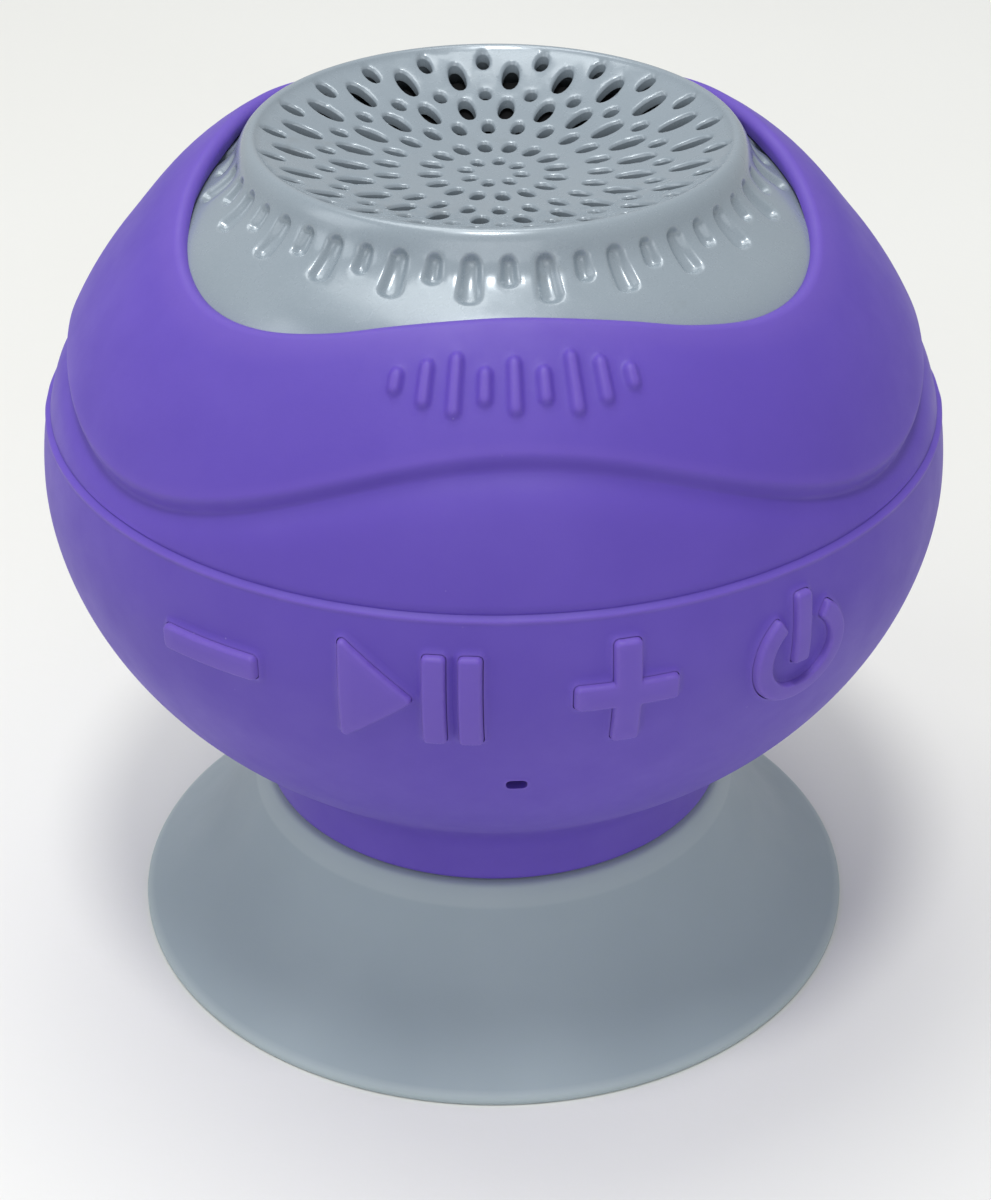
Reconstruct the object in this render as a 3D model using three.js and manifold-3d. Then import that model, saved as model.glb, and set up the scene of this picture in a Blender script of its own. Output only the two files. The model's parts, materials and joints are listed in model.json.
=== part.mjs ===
import * as THREE from "three";
import { mergeVertices } from "three/addons/utils/BufferGeometryUtils.js";
import Module from "manifold-3d";

// Round waterproof shower speaker on a suction cup. Millimetres, +Z up, front towards -Y.
// Origin: centre of the plane the suction cup's rim lies on.
// Azimuths are degrees about Z from the front, growing towards +X.
// Profiles are lists of [radius, height].

// ---- driving dimensions ----
const CUP_R = 36; // suction disc radius
const CUP_TOP = 16; // top of the cup, where the neck of the skin stands
const NECK_R = 22.8; // neck outside radius
const BODY_R = 42.45; // widest radius of the body
const BODY_Z = 50.8; // height of the widest circle
const LOWER_H = 34.3; // height of the lower body curve
const UPPER_H = 36.3; // height of the upper body curve
const FOLD_DEPTH = 0.85; // depth of the wavy fold round the body
const SKIN_T = 1.8; // silicone skin thickness
const SKIN_EDGE_T = 0.95; // skin thickness over the grille's flare
const GAP = 0.3; // assembly gap between nested pieces
const HOUSING_INSET = SKIN_T + GAP; // housing's outer face, inside the body curve
const HOUSING_T = 2.0; // housing wall thickness
const SPLIT_Z = 57; // height of the housing split
const FLANGE_TOP = 71.0; // top of the upper housing's flange
const FLANGE_T = 1.8;
const RIM_R = 21.6; // grille rim crest radius
const RIM_Z = 82.3; // grille rim crest height
const DISH_Z = 78.9; // centre of the dish
const GRILLE_T = 1.6; // grille wall thickness
const KEY_RAISE = 0.8; // keys stand this far out of the skin
const KEY_TRAVEL = 0.5; // press travel of a key
const KEY_LAYER = 0.9; // skin left over the key plates
const KEY_PLATE_T = 0.7; // key plate thickness
const SWITCH_Z = 50.6; // height of the switch plungers
const BOARD_R = 34; // circuit board radius
const BOARD_Z = 47; // underside of the circuit board
const BOARD_TOP = BOARD_Z + 1.6;
const DRIVER_Z = 72.4; // underside of the driver's flange
const PORT_Z = 50.4; // height of the charging socket's centre
const PORT_W = 13; // charging-port window in the skin
const PORT_H = 7.4;
const PORT_AZIMUTH = 180;
const MIC_Z = 38.9; // height of the microphone slot
const BATTERY_Y = 3; // centre of the battery, behind the axis

const OPENING = [
  // azimuth either side of the front, height of the grille opening's edge
  [0, 77.65], [10, 77.4], [20, 76.75], [30, 75.7], [40, 74.85], [48, 74.6], [55, 74.8],
  [62, 75.45], [70, 76.5], [80, 78.0], [90, 79.3], [100, 80.2], [115, 80.4], [180, 80.4],
];
const BOWL_STEPS = [23.2, 27, 33, 40, 46.5, 52.5]; // heights of the skin's stations
const HOUSING_STEPS = BOWL_STEPS.slice(1);
const SKIN_SEGMENTS = 44;
const HOUSING_SEGMENTS = 28;

const FINISH = {
  skin: { color: 0x6b55ba, roughness: 0.62 },
  key: { color: 0x7a5fca, roughness: 0.6 },
  switchCase: { color: 0x202225, roughness: 0.45 },
  plunger: { color: 0xd8d4c8, roughness: 0.5 },
  housing: { color: 0x2b2d31, roughness: 0.55 },
  seal: { color: 0x7d2c2a, roughness: 0.7 },
  screw: { color: 0xb9bcc0, roughness: 0.35, metalness: 1 },
  cup: { color: 0x93a4b0, roughness: 0.6 },
  cupFixing: { color: 0xd9dadb, roughness: 0.5 },
  grille: { color: 0x98a5b2, roughness: 0.35, metalness: 0.3 },
  cloth: { color: 0x17181a, roughness: 0.9 },
  gasket: { color: 0x1b1b1d, roughness: 0.9 },
  basket: { color: 0x3a3d42, roughness: 0.45, metalness: 0.8 },
  pole: { color: 0x9a9da1, roughness: 0.4, metalness: 0.9 },
  magnet: { color: 0x2c2c2e, roughness: 0.6, metalness: 0.3 },
  coil: { color: 0xb06a35, roughness: 0.4, metalness: 0.8 },
  cone: { color: 0x26272a, roughness: 0.8 },
  surround: { color: 0x151517, roughness: 0.6 },
  spider: { color: 0xc79a4a, roughness: 0.9 },
  dustCap: { color: 0x1d1e20, roughness: 0.5 },
  board: { color: 0x1f5a36, roughness: 0.4 },
  radio: { color: 0xc3c6c9, roughness: 0.35, metalness: 0.9 },
  chip: { color: 0x1b1c1e, roughness: 0.4 },
  connector: { color: 0xe6e2d4, roughness: 0.5 },
  socket: { color: 0xbfc2c6, roughness: 0.3, metalness: 1 },
  micBoot: { color: 0x1b1b1d, roughness: 0.85 },
  micCapsule: { color: 0xb9bcc0, roughness: 0.35, metalness: 0.9 },
  cell: { color: 0x9fa4ab, roughness: 0.35, metalness: 0.6 },
  foam: { color: 0x303034, roughness: 0.95 },
  cradle: { color: 0x2f3136, roughness: 0.6 },
  leadRed: { color: 0xb3261e, roughness: 0.5 },
  leadBlack: { color: 0x18181a, roughness: 0.5 },
};

const wasm = await Module();
wasm.setup();
const DEG = Math.PI / 180;

// ---- solids and geometries ----
// A closed three.js geometry as a solid for joining and cutting.
function solid(geometry) {
  const flat = geometry.index ? geometry.toNonIndexed() : geometry.clone();
  flat.deleteAttribute("normal");
  flat.deleteAttribute("uv");
  const merged = mergeVertices(flat, 1e-4);
  const index = merged.index.array;
  const kept = [];
  const flipped = [];
  for (let i = 0; i < index.length; i += 3) {
    const [a, b, c] = [index[i], index[i + 1], index[i + 2]];
    if (a === b || b === c || a === c) continue;
    kept.push(a, b, c);
    flipped.push(a, c, b);
  }
  const build = (triangles) =>
    new wasm.Manifold(
      new wasm.Mesh({
        numProp: 3,
        vertProperties: new Float32Array(merged.attributes.position.array),
        triVerts: new Uint32Array(triangles),
      }),
    );
  const made = build(kept);
  // a negative volume means the faces point inwards
  return made.volume() >= 0 ? made : build(flipped);
}

function geometryOf(body) {
  const mesh = body.getMesh();
  const geometry = new THREE.BufferGeometry();
  const positions = new Float32Array(mesh.vertProperties);
  geometry.setAttribute("position", new THREE.BufferAttribute(positions, 3));
  geometry.setIndex(new THREE.BufferAttribute(new Uint32Array(mesh.triVerts), 1));
  return geometry;
}

const root = new THREE.Group();
function add(name, finish, body) {
  const geometry = geometryOf(body);
  geometry.computeVertexNormals();
  const mesh = new THREE.Mesh(geometry, new THREE.MeshStandardMaterial(finish));
  mesh.name = name;
  root.add(mesh);
}

const joined = (bodies) => bodies.reduce((whole, body) => whole.add(body));

// A profile turned about Z. It starts and ends on the axis or closes on itself.
function turned(profile, segments, phase = 0) {
  const points = profile.map(([radius, z]) => new THREE.Vector2(radius, z));
  const first = points[0];
  const last = points[points.length - 1];
  const onAxis = first.x === 0 && last.x === 0;
  if (!onAxis && !first.equals(last)) points.push(first.clone());
  const geometry = new THREE.LatheGeometry(points, segments, phase * DEG);
  geometry.rotateX(Math.PI / 2);
  return solid(geometry);
}

// A rectangular profile turned about Z.
const turnedRing = (inner, outer, z0, z1, segments) =>
  turned([[inner, z0], [outer, z0], [outer, z1], [inner, z1]], segments);

// A polygon in x, y extruded from z0 to z1.
function prism(points, z0, z1) {
  const shape = new THREE.Shape(points.map(([x, y]) => new THREE.Vector2(x, y)));
  const geometry = new THREE.ExtrudeGeometry(shape, { depth: z1 - z0, bevelEnabled: false });
  geometry.translate(0, 0, z0);
  return geometry;
}

function box(width, depth, height, x, y, z) {
  const geometry = new THREE.BoxGeometry(width, depth, height);
  geometry.translate(x, y, z);
  return geometry;
}
const block = (...sizes) => solid(box(...sizes));

// A cylinder along z between z0 and z1.
function cylinder(radius, z0, z1, [x, y] = [0, 0], segments = 8) {
  const geometry = new THREE.CylinderGeometry(radius, radius, z1 - z0, segments);
  geometry.rotateX(Math.PI / 2);
  geometry.translate(x, y, (z0 + z1) / 2);
  return geometry;
}
const post = (...sizes) => solid(cylinder(...sizes));

// The solid of a geometry turned to an azimuth from local x = tangent, y = up, z = outward.
function facing(geometry, azimuth) {
  const [sin, cos] = [Math.sin(azimuth * DEG), Math.cos(azimuth * DEG)];
  const turn = new THREE.Matrix4().makeBasis(
    new THREE.Vector3(cos, sin, 0),
    new THREE.Vector3(0, 0, 1),
    new THREE.Vector3(sin, -cos, 0),
  );
  geometry.applyMatrix4(turn);
  return solid(geometry);
}

// An outline extruded outwards through the body's wall.
const radialPrism = (outline, azimuth, from = 36) => facing(prism(outline, from, 46), azimuth);

function rounded(width, height, corner, steps = 3) {
  const right = width / 2 - corner;
  const top = height / 2 - corner;
  const corners = [
    // centre x, centre y, first angle
    [right, top, 0],
    [-right, top, 90],
    [-right, -top, 180],
    [right, -top, 270],
  ];
  const outline = [];
  for (const [x, y, start] of corners)
    for (let i = 0; i <= steps; i++) {
      const angle = (start + (90 * i) / steps) * DEG;
      outline.push([x + corner * Math.cos(angle), y + corner * Math.sin(angle)]);
    }
  return outline;
}

const shifted = (points, dx, dy) => points.map(([x, y]) => [x + dx, y + dy]);
const at = (radius, azimuth) => [
  radius * Math.sin(azimuth * DEG),
  -radius * Math.cos(azimuth * DEG),
];
const around = (radius, azimuths) => azimuths.map((azimuth) => at(radius, azimuth));

// Places [x, y] of the screws
const HOUSING_SCREWS = around(31, [60, 120, 240, 300]);
const BOARD_SCREWS = around(27, [0, 130, 230]);
const DRIVER_SCREWS = around(22.4, [45, 135, 225, 315]);

// Slotted screws at each place. head and shank: [radius, z0, z1]; slot: [length, width, depth].
function addScrews(name, places, { head, shank, slot, slotZ }) {
  places.forEach(([x, y], i) => {
    const screw = post(...head, [x, y]).add(post(...shank, [x, y]));
    add(`${name}_${i + 1}`, FINISH.screw, screw.subtract(block(...slot, x, y, slotZ)));
  });
}

// ---- body curves ----
function bodyRadius(z) {
  const fall =
    z < BODY_Z ? Math.pow((BODY_Z - z) / LOWER_H, 1.85) : Math.pow((z - BODY_Z) / UPPER_H, 2);
  return BODY_R * Math.sqrt(Math.max(0, 1 - fall));
}

// The body curve's point at height z, moved inwards along its normal.
function inset(z, depth) {
  const slope = (bodyRadius(z + 0.05) - bodyRadius(z - 0.05)) / 0.1;
  const length = Math.hypot(1, slope);
  return [bodyRadius(z) - depth / length, z + (depth * slope) / length];
}
const insets = (heights, depth) => heights.map((z) => inset(z, depth));

// Height of the wavy fold's crease.
const creaseHeight = (azimuth) =>
  62.85 +
  2.85 * Math.cos(2 * azimuth * DEG) +
  2.53 * Math.cos(4 * azimuth * DEG) -
  0.38 * Math.cos(6 * azimuth * DEG);

// A smooth cubic curve through the opening's table, alike on both sides.
function openingHeight(azimuth) {
  const angle = Math.abs(((azimuth + 540) % 360) - 180);
  const end = OPENING.length - 1;
  let i = 0;
  while (i < end - 1 && angle > OPENING[i + 1][0]) i++;
  const slope = (k) => {
    if (k <= 0 || k >= end) return 0;
    return (OPENING[k + 1][1] - OPENING[k - 1][1]) / (OPENING[k + 1][0] - OPENING[k - 1][0]);
  };
  const [start, startZ] = OPENING[i];
  const [stop, stopZ] = OPENING[i + 1];
  const span = stop - start;
  const share = (angle - start) / span;
  return (
    (2 * share ** 3 - 3 * share ** 2 + 1) * startZ +
    (share ** 3 - 2 * share ** 2 + share) * span * slope(i) +
    (3 * share ** 2 - 2 * share ** 3) * stopZ +
    (share ** 3 - share ** 2) * span * slope(i + 1)
  );
}

// The skin thins from z = 72 to z = 76, where it lies over the grille's flare.
function skinThickness(z) {
  if (z <= 72) return SKIN_T;
  if (z >= 76) return SKIN_EDGE_T;
  return SKIN_T - ((SKIN_T - SKIN_EDGE_T) * (z - 72)) / 4;
}

// The skin's closed section at an azimuth; out moves its outer face outwards.
function skinSection(azimuth, out) {
  const crease = creaseHeight(azimuth);
  const opening = openingHeight(azimuth);
  const rollTop = crease + 1.9;
  const underFold = 57.6 + (crease - 57.6) * 0.55;
  const upper = (share) => rollTop + (opening - rollTop) * share;
  const outer = (z, depth = 0) => [bodyRadius(z) - depth + out, z];
  return [
    [NECK_R + out, CUP_TOP + 0.2],
    [NECK_R - 0.1 + out, 21.3],
    ...BOWL_STEPS.map((z) => outer(z)),
    // parting ridge, the face under the fold, the fold and the roll over it
    outer(56.3),
    [41.55 + out, 57.35],
    outer(underFold, 0.28),
    outer(crease, FOLD_DEPTH),
    outer(crease + 0.8, 0.3),
    outer(rollTop),
    ...[0.35, 0.7, 1].map((share) => inset(upper(share), -out)),
    // rolled lip and inner face
    inset(opening + 0.3, 0.35),
    inset(opening + 0.1, 0.95),
    ...[0.7, 0.35].map((share) => inset(upper(share), skinThickness(upper(share)))),
    ...insets([rollTop, 60.8 + (rollTop - 60.8) * 0.5, 59.8, 57.4], SKIN_T),
    ...insets([...BOWL_STEPS].reverse(), SKIN_T),
    [NECK_R - SKIN_T, 22.6],
    [NECK_R - SKIN_T, CUP_TOP + 0.2],
  ];
}

// Skin sections joined round the axis into a closed ring.
function skinShell(out = 0) {
  const rows = [];
  for (let i = 0; i < SKIN_SEGMENTS; i++) {
    const azimuth = (360 * i) / SKIN_SEGMENTS;
    rows.push(skinSection(azimuth, out).map(([radius, z]) => [...at(radius, azimuth), z]));
  }
  const count = rows[0].length;
  const index = [];
  for (let i = 0; i < SKIN_SEGMENTS; i++)
    for (let j = 0; j < count; j++) {
      const row = i * count;
      const nextRow = ((i + 1) % SKIN_SEGMENTS) * count;
      const next = (j + 1) % count;
      index.push(row + j, row + next, nextRow + next);
      index.push(row + j, nextRow + next, nextRow + j);
    }
  const geometry = new THREE.BufferGeometry();
  const positions = new Float32Array(rows.flat(2));
  geometry.setAttribute("position", new THREE.BufferAttribute(positions, 3));
  geometry.setIndex(index);
  return solid(geometry);
}

// The solid of revolution inside the body curve, for trimming curved plates.
function bodyCore(depth) {
  const top = 56.2;
  return turned(
    [
      [0, 30],
      ...[31, 37, 43, 49.5, top].map((z) => [bodyRadius(z) - depth, z]),
      [bodyRadius(top) - depth, 60],
      [0, 60],
    ],
    36,
  );
}

// ---- key outlines: x, and y as absolute height; grow widens them on every side ----
function rectangle([x0, x1, z0, z1], grow = 0) {
  return [
    [x0 - grow, z0 - grow],
    [x1 + grow, z0 - grow],
    [x1 + grow, z1 + grow],
    [x0 - grow, z1 + grow],
  ];
}

function bar(x0, x1, z0, z1, grow) {
  const width = x1 - x0 + 2 * grow;
  const height = z1 - z0 + 2 * grow;
  const corner = Math.min(0.6, width / 2.2, height / 2.2);
  return shifted(rounded(width, height, corner, 1), (x0 + x1) / 2, (z0 + z1) / 2);
}

// A ring about x = 0, open at the top for gapHalf degrees to each side.
function openRing(centreZ, radius, halfWidth, gapHalf, grow) {
  const open = gapHalf - grow / radius / DEG;
  const steps = 8;
  const arc = (arcRadius) =>
    Array.from({ length: steps + 1 }, (_, i) => {
      const angle = (90 + open + ((360 - 2 * open) * i) / steps) * DEG;
      return [arcRadius * Math.cos(angle), centreZ + arcRadius * Math.sin(angle)];
    });
  return [...arc(radius + halfWidth + grow), ...arc(radius - halfWidth - grow).reverse()];
}

// A triangle with its upright base on the left and its tip on the right.
function triangle(left, bottom, tipX, tipZ, grow) {
  const angle = Math.atan2(tipZ - bottom, tipX - left);
  const grownTip = tipX + grow / Math.sin(angle);
  const grownLeft = left - grow;
  const halfBase = (grownTip - grownLeft) * Math.tan(angle);
  return [
    [grownLeft, tipZ - halfBase],
    [grownTip, tipZ],
    [grownLeft, tipZ + halfBase],
  ];
}

// plate: [x0, x1, z0, z1] behind the skin; icons: outlines that show through it
const KEYS = [
  {
    name: "minus",
    azimuth: -37.2,
    plate: [-5.9, 5.9, 47.2, 53.4],
    icons: (grow) => [bar(-4.9, 4.9, 48.85, 51.15, grow)],
  },
  {
    name: "play_pause",
    azimuth: -12,
    plate: [-6.9, 6.9, 43.4, 55.9],
    icons: (grow) => [
      triangle(-5.9, 44.4, -0.15, 49.75, grow),
      bar(0.8, 2.8, 45, 54.5, grow),
      bar(3.85, 5.85, 45, 54.5, grow),
    ],
  },
  {
    name: "plus",
    azimuth: 12.4,
    plate: [-5.6, 5.6, 43.5, 55.9],
    icons: (grow) => [bar(-4.6, 4.6, 48.5, 50.9, grow), bar(-1.2, 1.2, 44.4, 55.0, grow)],
  },
  {
    name: "power",
    azimuth: 35,
    plate: [-6.7, 6.7, 42.6, 55.9],
    icons: (grow) => [openRing(48.7, 4.6, 0.95, 34, grow), bar(-0.95, 0.95, 48.2, 55.2, grow)],
  },
];
const PLATE_TOP = KEY_LAYER + GAP; // depths inside the body curve
const PLATE_BOTTOM = PLATE_TOP + KEY_PLATE_T;
const CORE = {
  keyTop: bodyCore(-KEY_RAISE),
  layer: bodyCore(KEY_LAYER),
  plateTop: bodyCore(PLATE_TOP),
  plateBottom: bodyCore(PLATE_BOTTOM),
  recess: bodyCore(PLATE_BOTTOM + KEY_TRAVEL + 0.5),
};

// A radial cylinder on a key's switch axis.
const switchPost = (key, radius, from, to, segments) =>
  facing(cylinder(radius, from, to, [0, SWITCH_Z], segments), key.azimuth);

// ---- microphone and port placing ----
// Local z runs along the body's outward normal at the slot, y up the body.
function atMic(geometry) {
  const slope = (bodyRadius(MIC_Z + 0.1) - bodyRadius(MIC_Z - 0.1)) / 0.2;
  geometry.rotateX(Math.atan(slope)); // the normal points this far below horizontal
  geometry.translate(0, MIC_Z, bodyRadius(MIC_Z));
  return facing(geometry, 0);
}
const micPost = (radius, from, to, segments) =>
  atMic(cylinder(radius, from, to, [0, 0], segments));

const portPrism = (width, height, corner, steps, from) =>
  radialPrism(shifted(rounded(width, height, corner, steps), 0, PORT_Z), PORT_AZIMUTH, from);

// ---- silicone skin ----
// Raised row of level bars on the front of the band.
function levelBars() {
  const heights = [1.6, 2.8, 3.8, 2.4, 3.6, 2.4, 3.8, 2.8, 1.6];
  const pitch = 2.6;
  const halfWidth = 0.55;
  const raise = 0.55;
  const bars = heights.map((height, i) => {
    const outline = rectangle([-halfWidth, halfWidth, -height / 2, height / 2]);
    const geometry = prism(outline, 20, 60);
    geometry.rotateX(Math.PI / 2); // extrusion towards the front, y to height
    geometry.translate((i - (heights.length - 1) / 2) * pitch, 0, 73.8);
    return solid(geometry);
  });
  const front = block(60, 40, 20, 0, -32, 74);
  return joined(bars).intersect(skinShell(raise)).intersect(front);
}

function siliconeSkin() {
  let skin = skinShell();
  for (const { azimuth, plate, icons } of KEYS) {
    for (const outline of icons(GAP)) skin = skin.subtract(radialPrism(outline, azimuth));
    const pocket = radialPrism(rectangle(plate, GAP), azimuth);
    skin = skin.subtract(pocket.intersect(CORE.layer));
  }
  skin = skin.subtract(atMic(prism(rounded(2.0, 0.8, 0.38), -5, 2)));
  skin = skin.subtract(portPrism(PORT_W, PORT_H, 1.6, 3, 34));
  return skin.add(levelBars());
}
add("silicone_skin", FINISH.skin, siliconeSkin());

// ---- keys, switches ----
// Icons standing on a curved plate, with a stem towards the switch.
function keyBody(key) {
  const icons = key.icons(0).map((outline) => radialPrism(outline, key.azimuth, 39.5));
  const plate = radialPrism(rectangle(key.plate), key.azimuth);
  return joined([
    joined(icons).intersect(CORE.keyTop).subtract(CORE.plateBottom),
    plate.intersect(CORE.plateTop).subtract(CORE.plateBottom),
    switchPost(key, 1.6, 37.9, 41, 10),
  ]);
}

function switchCase(key) {
  const body = facing(box(6.2, 3.6, 4.8, 0, SWITCH_Z, 33.9), key.azimuth);
  return body.subtract(switchPost(key, 1.35, 33.6, 40));
}

for (const key of KEYS) {
  add(`button_${key.name}`, FINISH.key, keyBody(key));
  add(`switch_case_${key.name}`, FINISH.switchCase, switchCase(key));
  add(`switch_plunger_${key.name}`, FINISH.plunger, switchPost(key, 1.0, 34.7, 37.6));
}

// ---- housing ----
function lowerHousing() {
  const topStep = 56.4; // the posts end here
  let housing = turned(
    [
      [9.6, 16.4], [NECK_R - HOUSING_INSET, 16.4], [NECK_R - HOUSING_INSET, 23.0],
      ...insets(HOUSING_STEPS, HOUSING_INSET),
      [39.85, 56.2], [39.7, SPLIT_Z],
      // seal groove in the rim, then the inner face
      [38.8, SPLIT_Z], [38.8, 55.7], [37.2, 55.7], [37.2, SPLIT_Z], [36, SPLIT_Z], [36, 54.8],
      ...insets([...HOUSING_STEPS].reverse(), HOUSING_INSET + HOUSING_T),
      [18.6, 25.2], [18.6, 18.8], [9.6, 18.8],
    ],
    HOUSING_SEGMENTS,
  );
  // keeps the posts from showing through the outer face
  const inside = turned(
    [
      [0, 19.6], [19.4, 19.6], [19.4, 24.6],
      ...insets(HOUSING_STEPS, HOUSING_INSET + 1),
      [38.6, topStep], [0, topStep],
    ],
    HOUSING_SEGMENTS,
  );
  for (const place of HOUSING_SCREWS) {
    housing = housing.add(post(3.4, 24, topStep, place).intersect(inside));
    housing = housing.subtract(post(2.4, 20, 44.2, place)); // head well
    housing = housing.subtract(post(1.25, 40, 58, place)); // shank hole
  }
  for (const place of BOARD_SCREWS) {
    housing = housing.add(post(2.2, 22, BOARD_Z - 0.2, place).intersect(inside));
    housing = housing.subtract(post(0.95, 40, 50, place));
  }
  // key recesses and stem holes
  for (const key of KEYS) {
    const recess = radialPrism(rectangle(key.plate, 0.5), key.azimuth).subtract(CORE.recess);
    housing = housing.subtract(recess);
    housing = housing.subtract(switchPost(key, 2.0, 35, 44, 10));
  }
  // microphone bore and its wider seat, port opening and its wider recess
  return housing
    .subtract(micPost(1.3, -8, 2, 12))
    .subtract(micPost(3.3, -9, -HOUSING_INSET - 0.9, 14))
    .subtract(portPrism(10.2, 4.6, 0.8, 2, 34))
    .subtract(portPrism(PORT_W, PORT_H, 1.6, 2, 39.7));
}

function upperHousing() {
  const bottom = SPLIT_Z + GAP;
  const flangeBottom = FLANGE_TOP - FLANGE_T;
  let housing = turned(
    [
      [39.5, bottom], [38.85, 59.3], [38.1, 61.4],
      ...insets([65, 68.5, 71.6], HOUSING_INSET),
      [32.6, FLANGE_TOP], [18.2, FLANGE_TOP], [18.2, flangeBottom], [30.6, flangeBottom],
      ...insets([68, 64], HOUSING_INSET + HOUSING_T),
      [35.7, 61], [36, 59.2], [36, bottom],
    ],
    HOUSING_SEGMENTS,
  );
  for (const place of HOUSING_SCREWS) {
    housing = housing.add(post(2.8, 56.7, FLANGE_TOP - 1, place));
    housing = housing.subtract(post(1.2, 50, 64, place));
  }
  for (const place of DRIVER_SCREWS) {
    housing = housing.add(post(2.0, 66.6, FLANGE_TOP - 0.4, place));
    housing = housing.subtract(post(1.15, 67.4, 74, place));
  }
  // ridge that centres the grille
  return housing.add(turnedRing(28.2, 29.4, 70.5, 72.2, HOUSING_SEGMENTS));
}

add("lower_housing", FINISH.housing, lowerHousing());
add("upper_housing", FINISH.housing, upperHousing());
add("housing_seal", FINISH.seal, turnedRing(37.5, 38.5, 56.0, 57.15, HOUSING_SEGMENTS));
addScrews("housing_screw", HOUSING_SCREWS, {
  head: [2.0, 42.0, 43.9],
  shank: [0.9, 43, 60.5],
  slot: [2.6, 0.5, 1.2],
  slotZ: 42.1,
});

// ---- suction cup and its fixing ----
const CUP_PROFILE = [
  // underside and rim
  [0, 11.2], [12, 10.4], [21, 8.2], [28, 4.3], [33.4, 0],
  [CUP_R - 0.25, 0], [CUP_R, 0.25], [CUP_R, 0.65], [CUP_R - 0.25, 0.95],
  // top face up to the neck
  [33, 3.1], [29, 7.1], [25.6, 11.5], [23.9, 14.5], [22.9, CUP_TOP],
  // boss round the insert
  [9.2, CUP_TOP], [9.2, 19.2], [5.3, 19.2], [5.3, 15.5], [8.3, 15.5], [8.3, 13.0], [0, 13.0],
];
const INSERT_PROFILE = [
  [0, 13.3], [8.0, 13.3], [8.0, 15.2], [5.0, 15.2],
  [5.0, 20.4], [1.7, 20.4], [1.7, 14.6], [0, 14.6],
];
const RETAINER_PROFILE = [
  [1.9, 20.7], [5.2, 20.7], [5.2, 19.5], [12.4, 19.5], [12.4, 21.0], [6.0, 22.4], [1.9, 22.4],
];
const CUP_SCREW_PROFILE = [
  [0, 15.2], [1.4, 15.2], [1.4, 22.7], [3.4, 22.7], [3.4, 24.0], [2.4, 24.8], [0, 24.8],
];

// Screw with a cross cut in its head.
function cupScrew() {
  const [length, width, depth, z] = [4, 0.7, 1.6, 24.9];
  return turned(CUP_SCREW_PROFILE, 16)
    .subtract(block(length, width, depth, 0, 0, z))
    .subtract(block(width, length, depth, 0, 0, z));
}

add("suction_cup", FINISH.cup, turned(CUP_PROFILE, 40));
add("cup_insert", FINISH.cupFixing, turned(INSERT_PROFILE, 18));
add("cup_retainer", FINISH.cupFixing, turned(RETAINER_PROFILE, 24));
add("cup_screw", FINISH.screw, cupScrew());

// ---- grille ----
const DISH_STEPS = [0, 9.2, 14.85, 21.2];
const FLARE = [[22.35, 81.9], [22.95, 80.6], [24.2, 78.9], [26.7, 77.0], [29.4, 75.1], [32.3, 71.6]];
const FLARE_INNER = [[30.9, 71.4], [28.4, 73.9], [25.4, 76.0], [22.9, 78.0]];
const DISH_RINGS = [
  // radius, count, first azimuth, hole width, hole length
  [19.95, 24, 0, 1.3, 1.9],
  [17.6, 24, 7.5, 1.5, 2.9],
  [15.75, 24, 0, 1.1, 1.2],
  [13.2, 24, 7.5, 1.3, 2.5],
  [10.5, 24, 0, 1.1, 1.7],
  [7.6, 12, 7.5, 1.1, 1.4],
  [4.4, 8, 0, 1.0, 1.2],
];

// Points of the dish's top face, lowered by drop.
function dishLine(radii, drop) {
  const rise = RIM_Z - 0.35 - DISH_Z;
  return radii.map((radius) => [
    radius,
    DISH_Z + rise * Math.pow(radius / (RIM_R - 0.8), 2) - drop,
  ]);
}

// A four-sided outline, long along y; its corners lie a little outside width and length.
const diamond = (width, length) =>
  [90, 180, 270, 360].map((angle) => [
    (width / 2) * 1.15 * Math.cos(angle * DEG),
    (length / 2) * 1.12 * Math.sin(angle * DEG),
  ]);

function dishHoles() {
  return DISH_RINGS.flatMap(([radius, count, start, width, length]) =>
    Array.from({ length: count }, (_, i) => {
      const hole = prism(diamond(width, length), 74, 84);
      hole.translate(0, -radius, 0);
      hole.rotateZ((start + (360 * i) / count) * DEG);
      return solid(hole);
    }),
  );
}

// Blind dimples round the flare, short and long in turn.
function flareDimples() {
  const count = 48;
  return Array.from({ length: count }, (_, i) => {
    const outline = i % 2 === 1 ? diamond(1.9, 5.0) : diamond(1.7, 3.0);
    const dimple = prism(outline, -0.75, 1.6);
    dimple.rotateX(0.8); // local y up the slope, z along the flare's outward normal
    dimple.translate(0, -24.9, 78.65);
    dimple.rotateZ(((360 * i) / count) * DEG);
    return solid(dimple);
  });
}

function grille() {
  const profile = [
    ...dishLine(DISH_STEPS, 0),
    [RIM_R, RIM_Z],
    ...FLARE,
    ...FLARE_INNER,
    ...dishLine([...DISH_STEPS].reverse(), GRILLE_T),
  ];
  return turned(profile, 48, 3.75).subtract(joined([...dishHoles(), ...flareDimples()]));
}

function grilleCloth() {
  const radii = [0, 8, 14, 19.6];
  const underside = dishLine(radii, GRILLE_T + 0.7);
  const topFace = dishLine(radii, GRILLE_T + 0.35).reverse();
  return turned([...underside, ...topFace], 24);
}

add("grille", FINISH.grille, grille());
add("grille_cloth", FINISH.cloth, grilleCloth());

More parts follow.
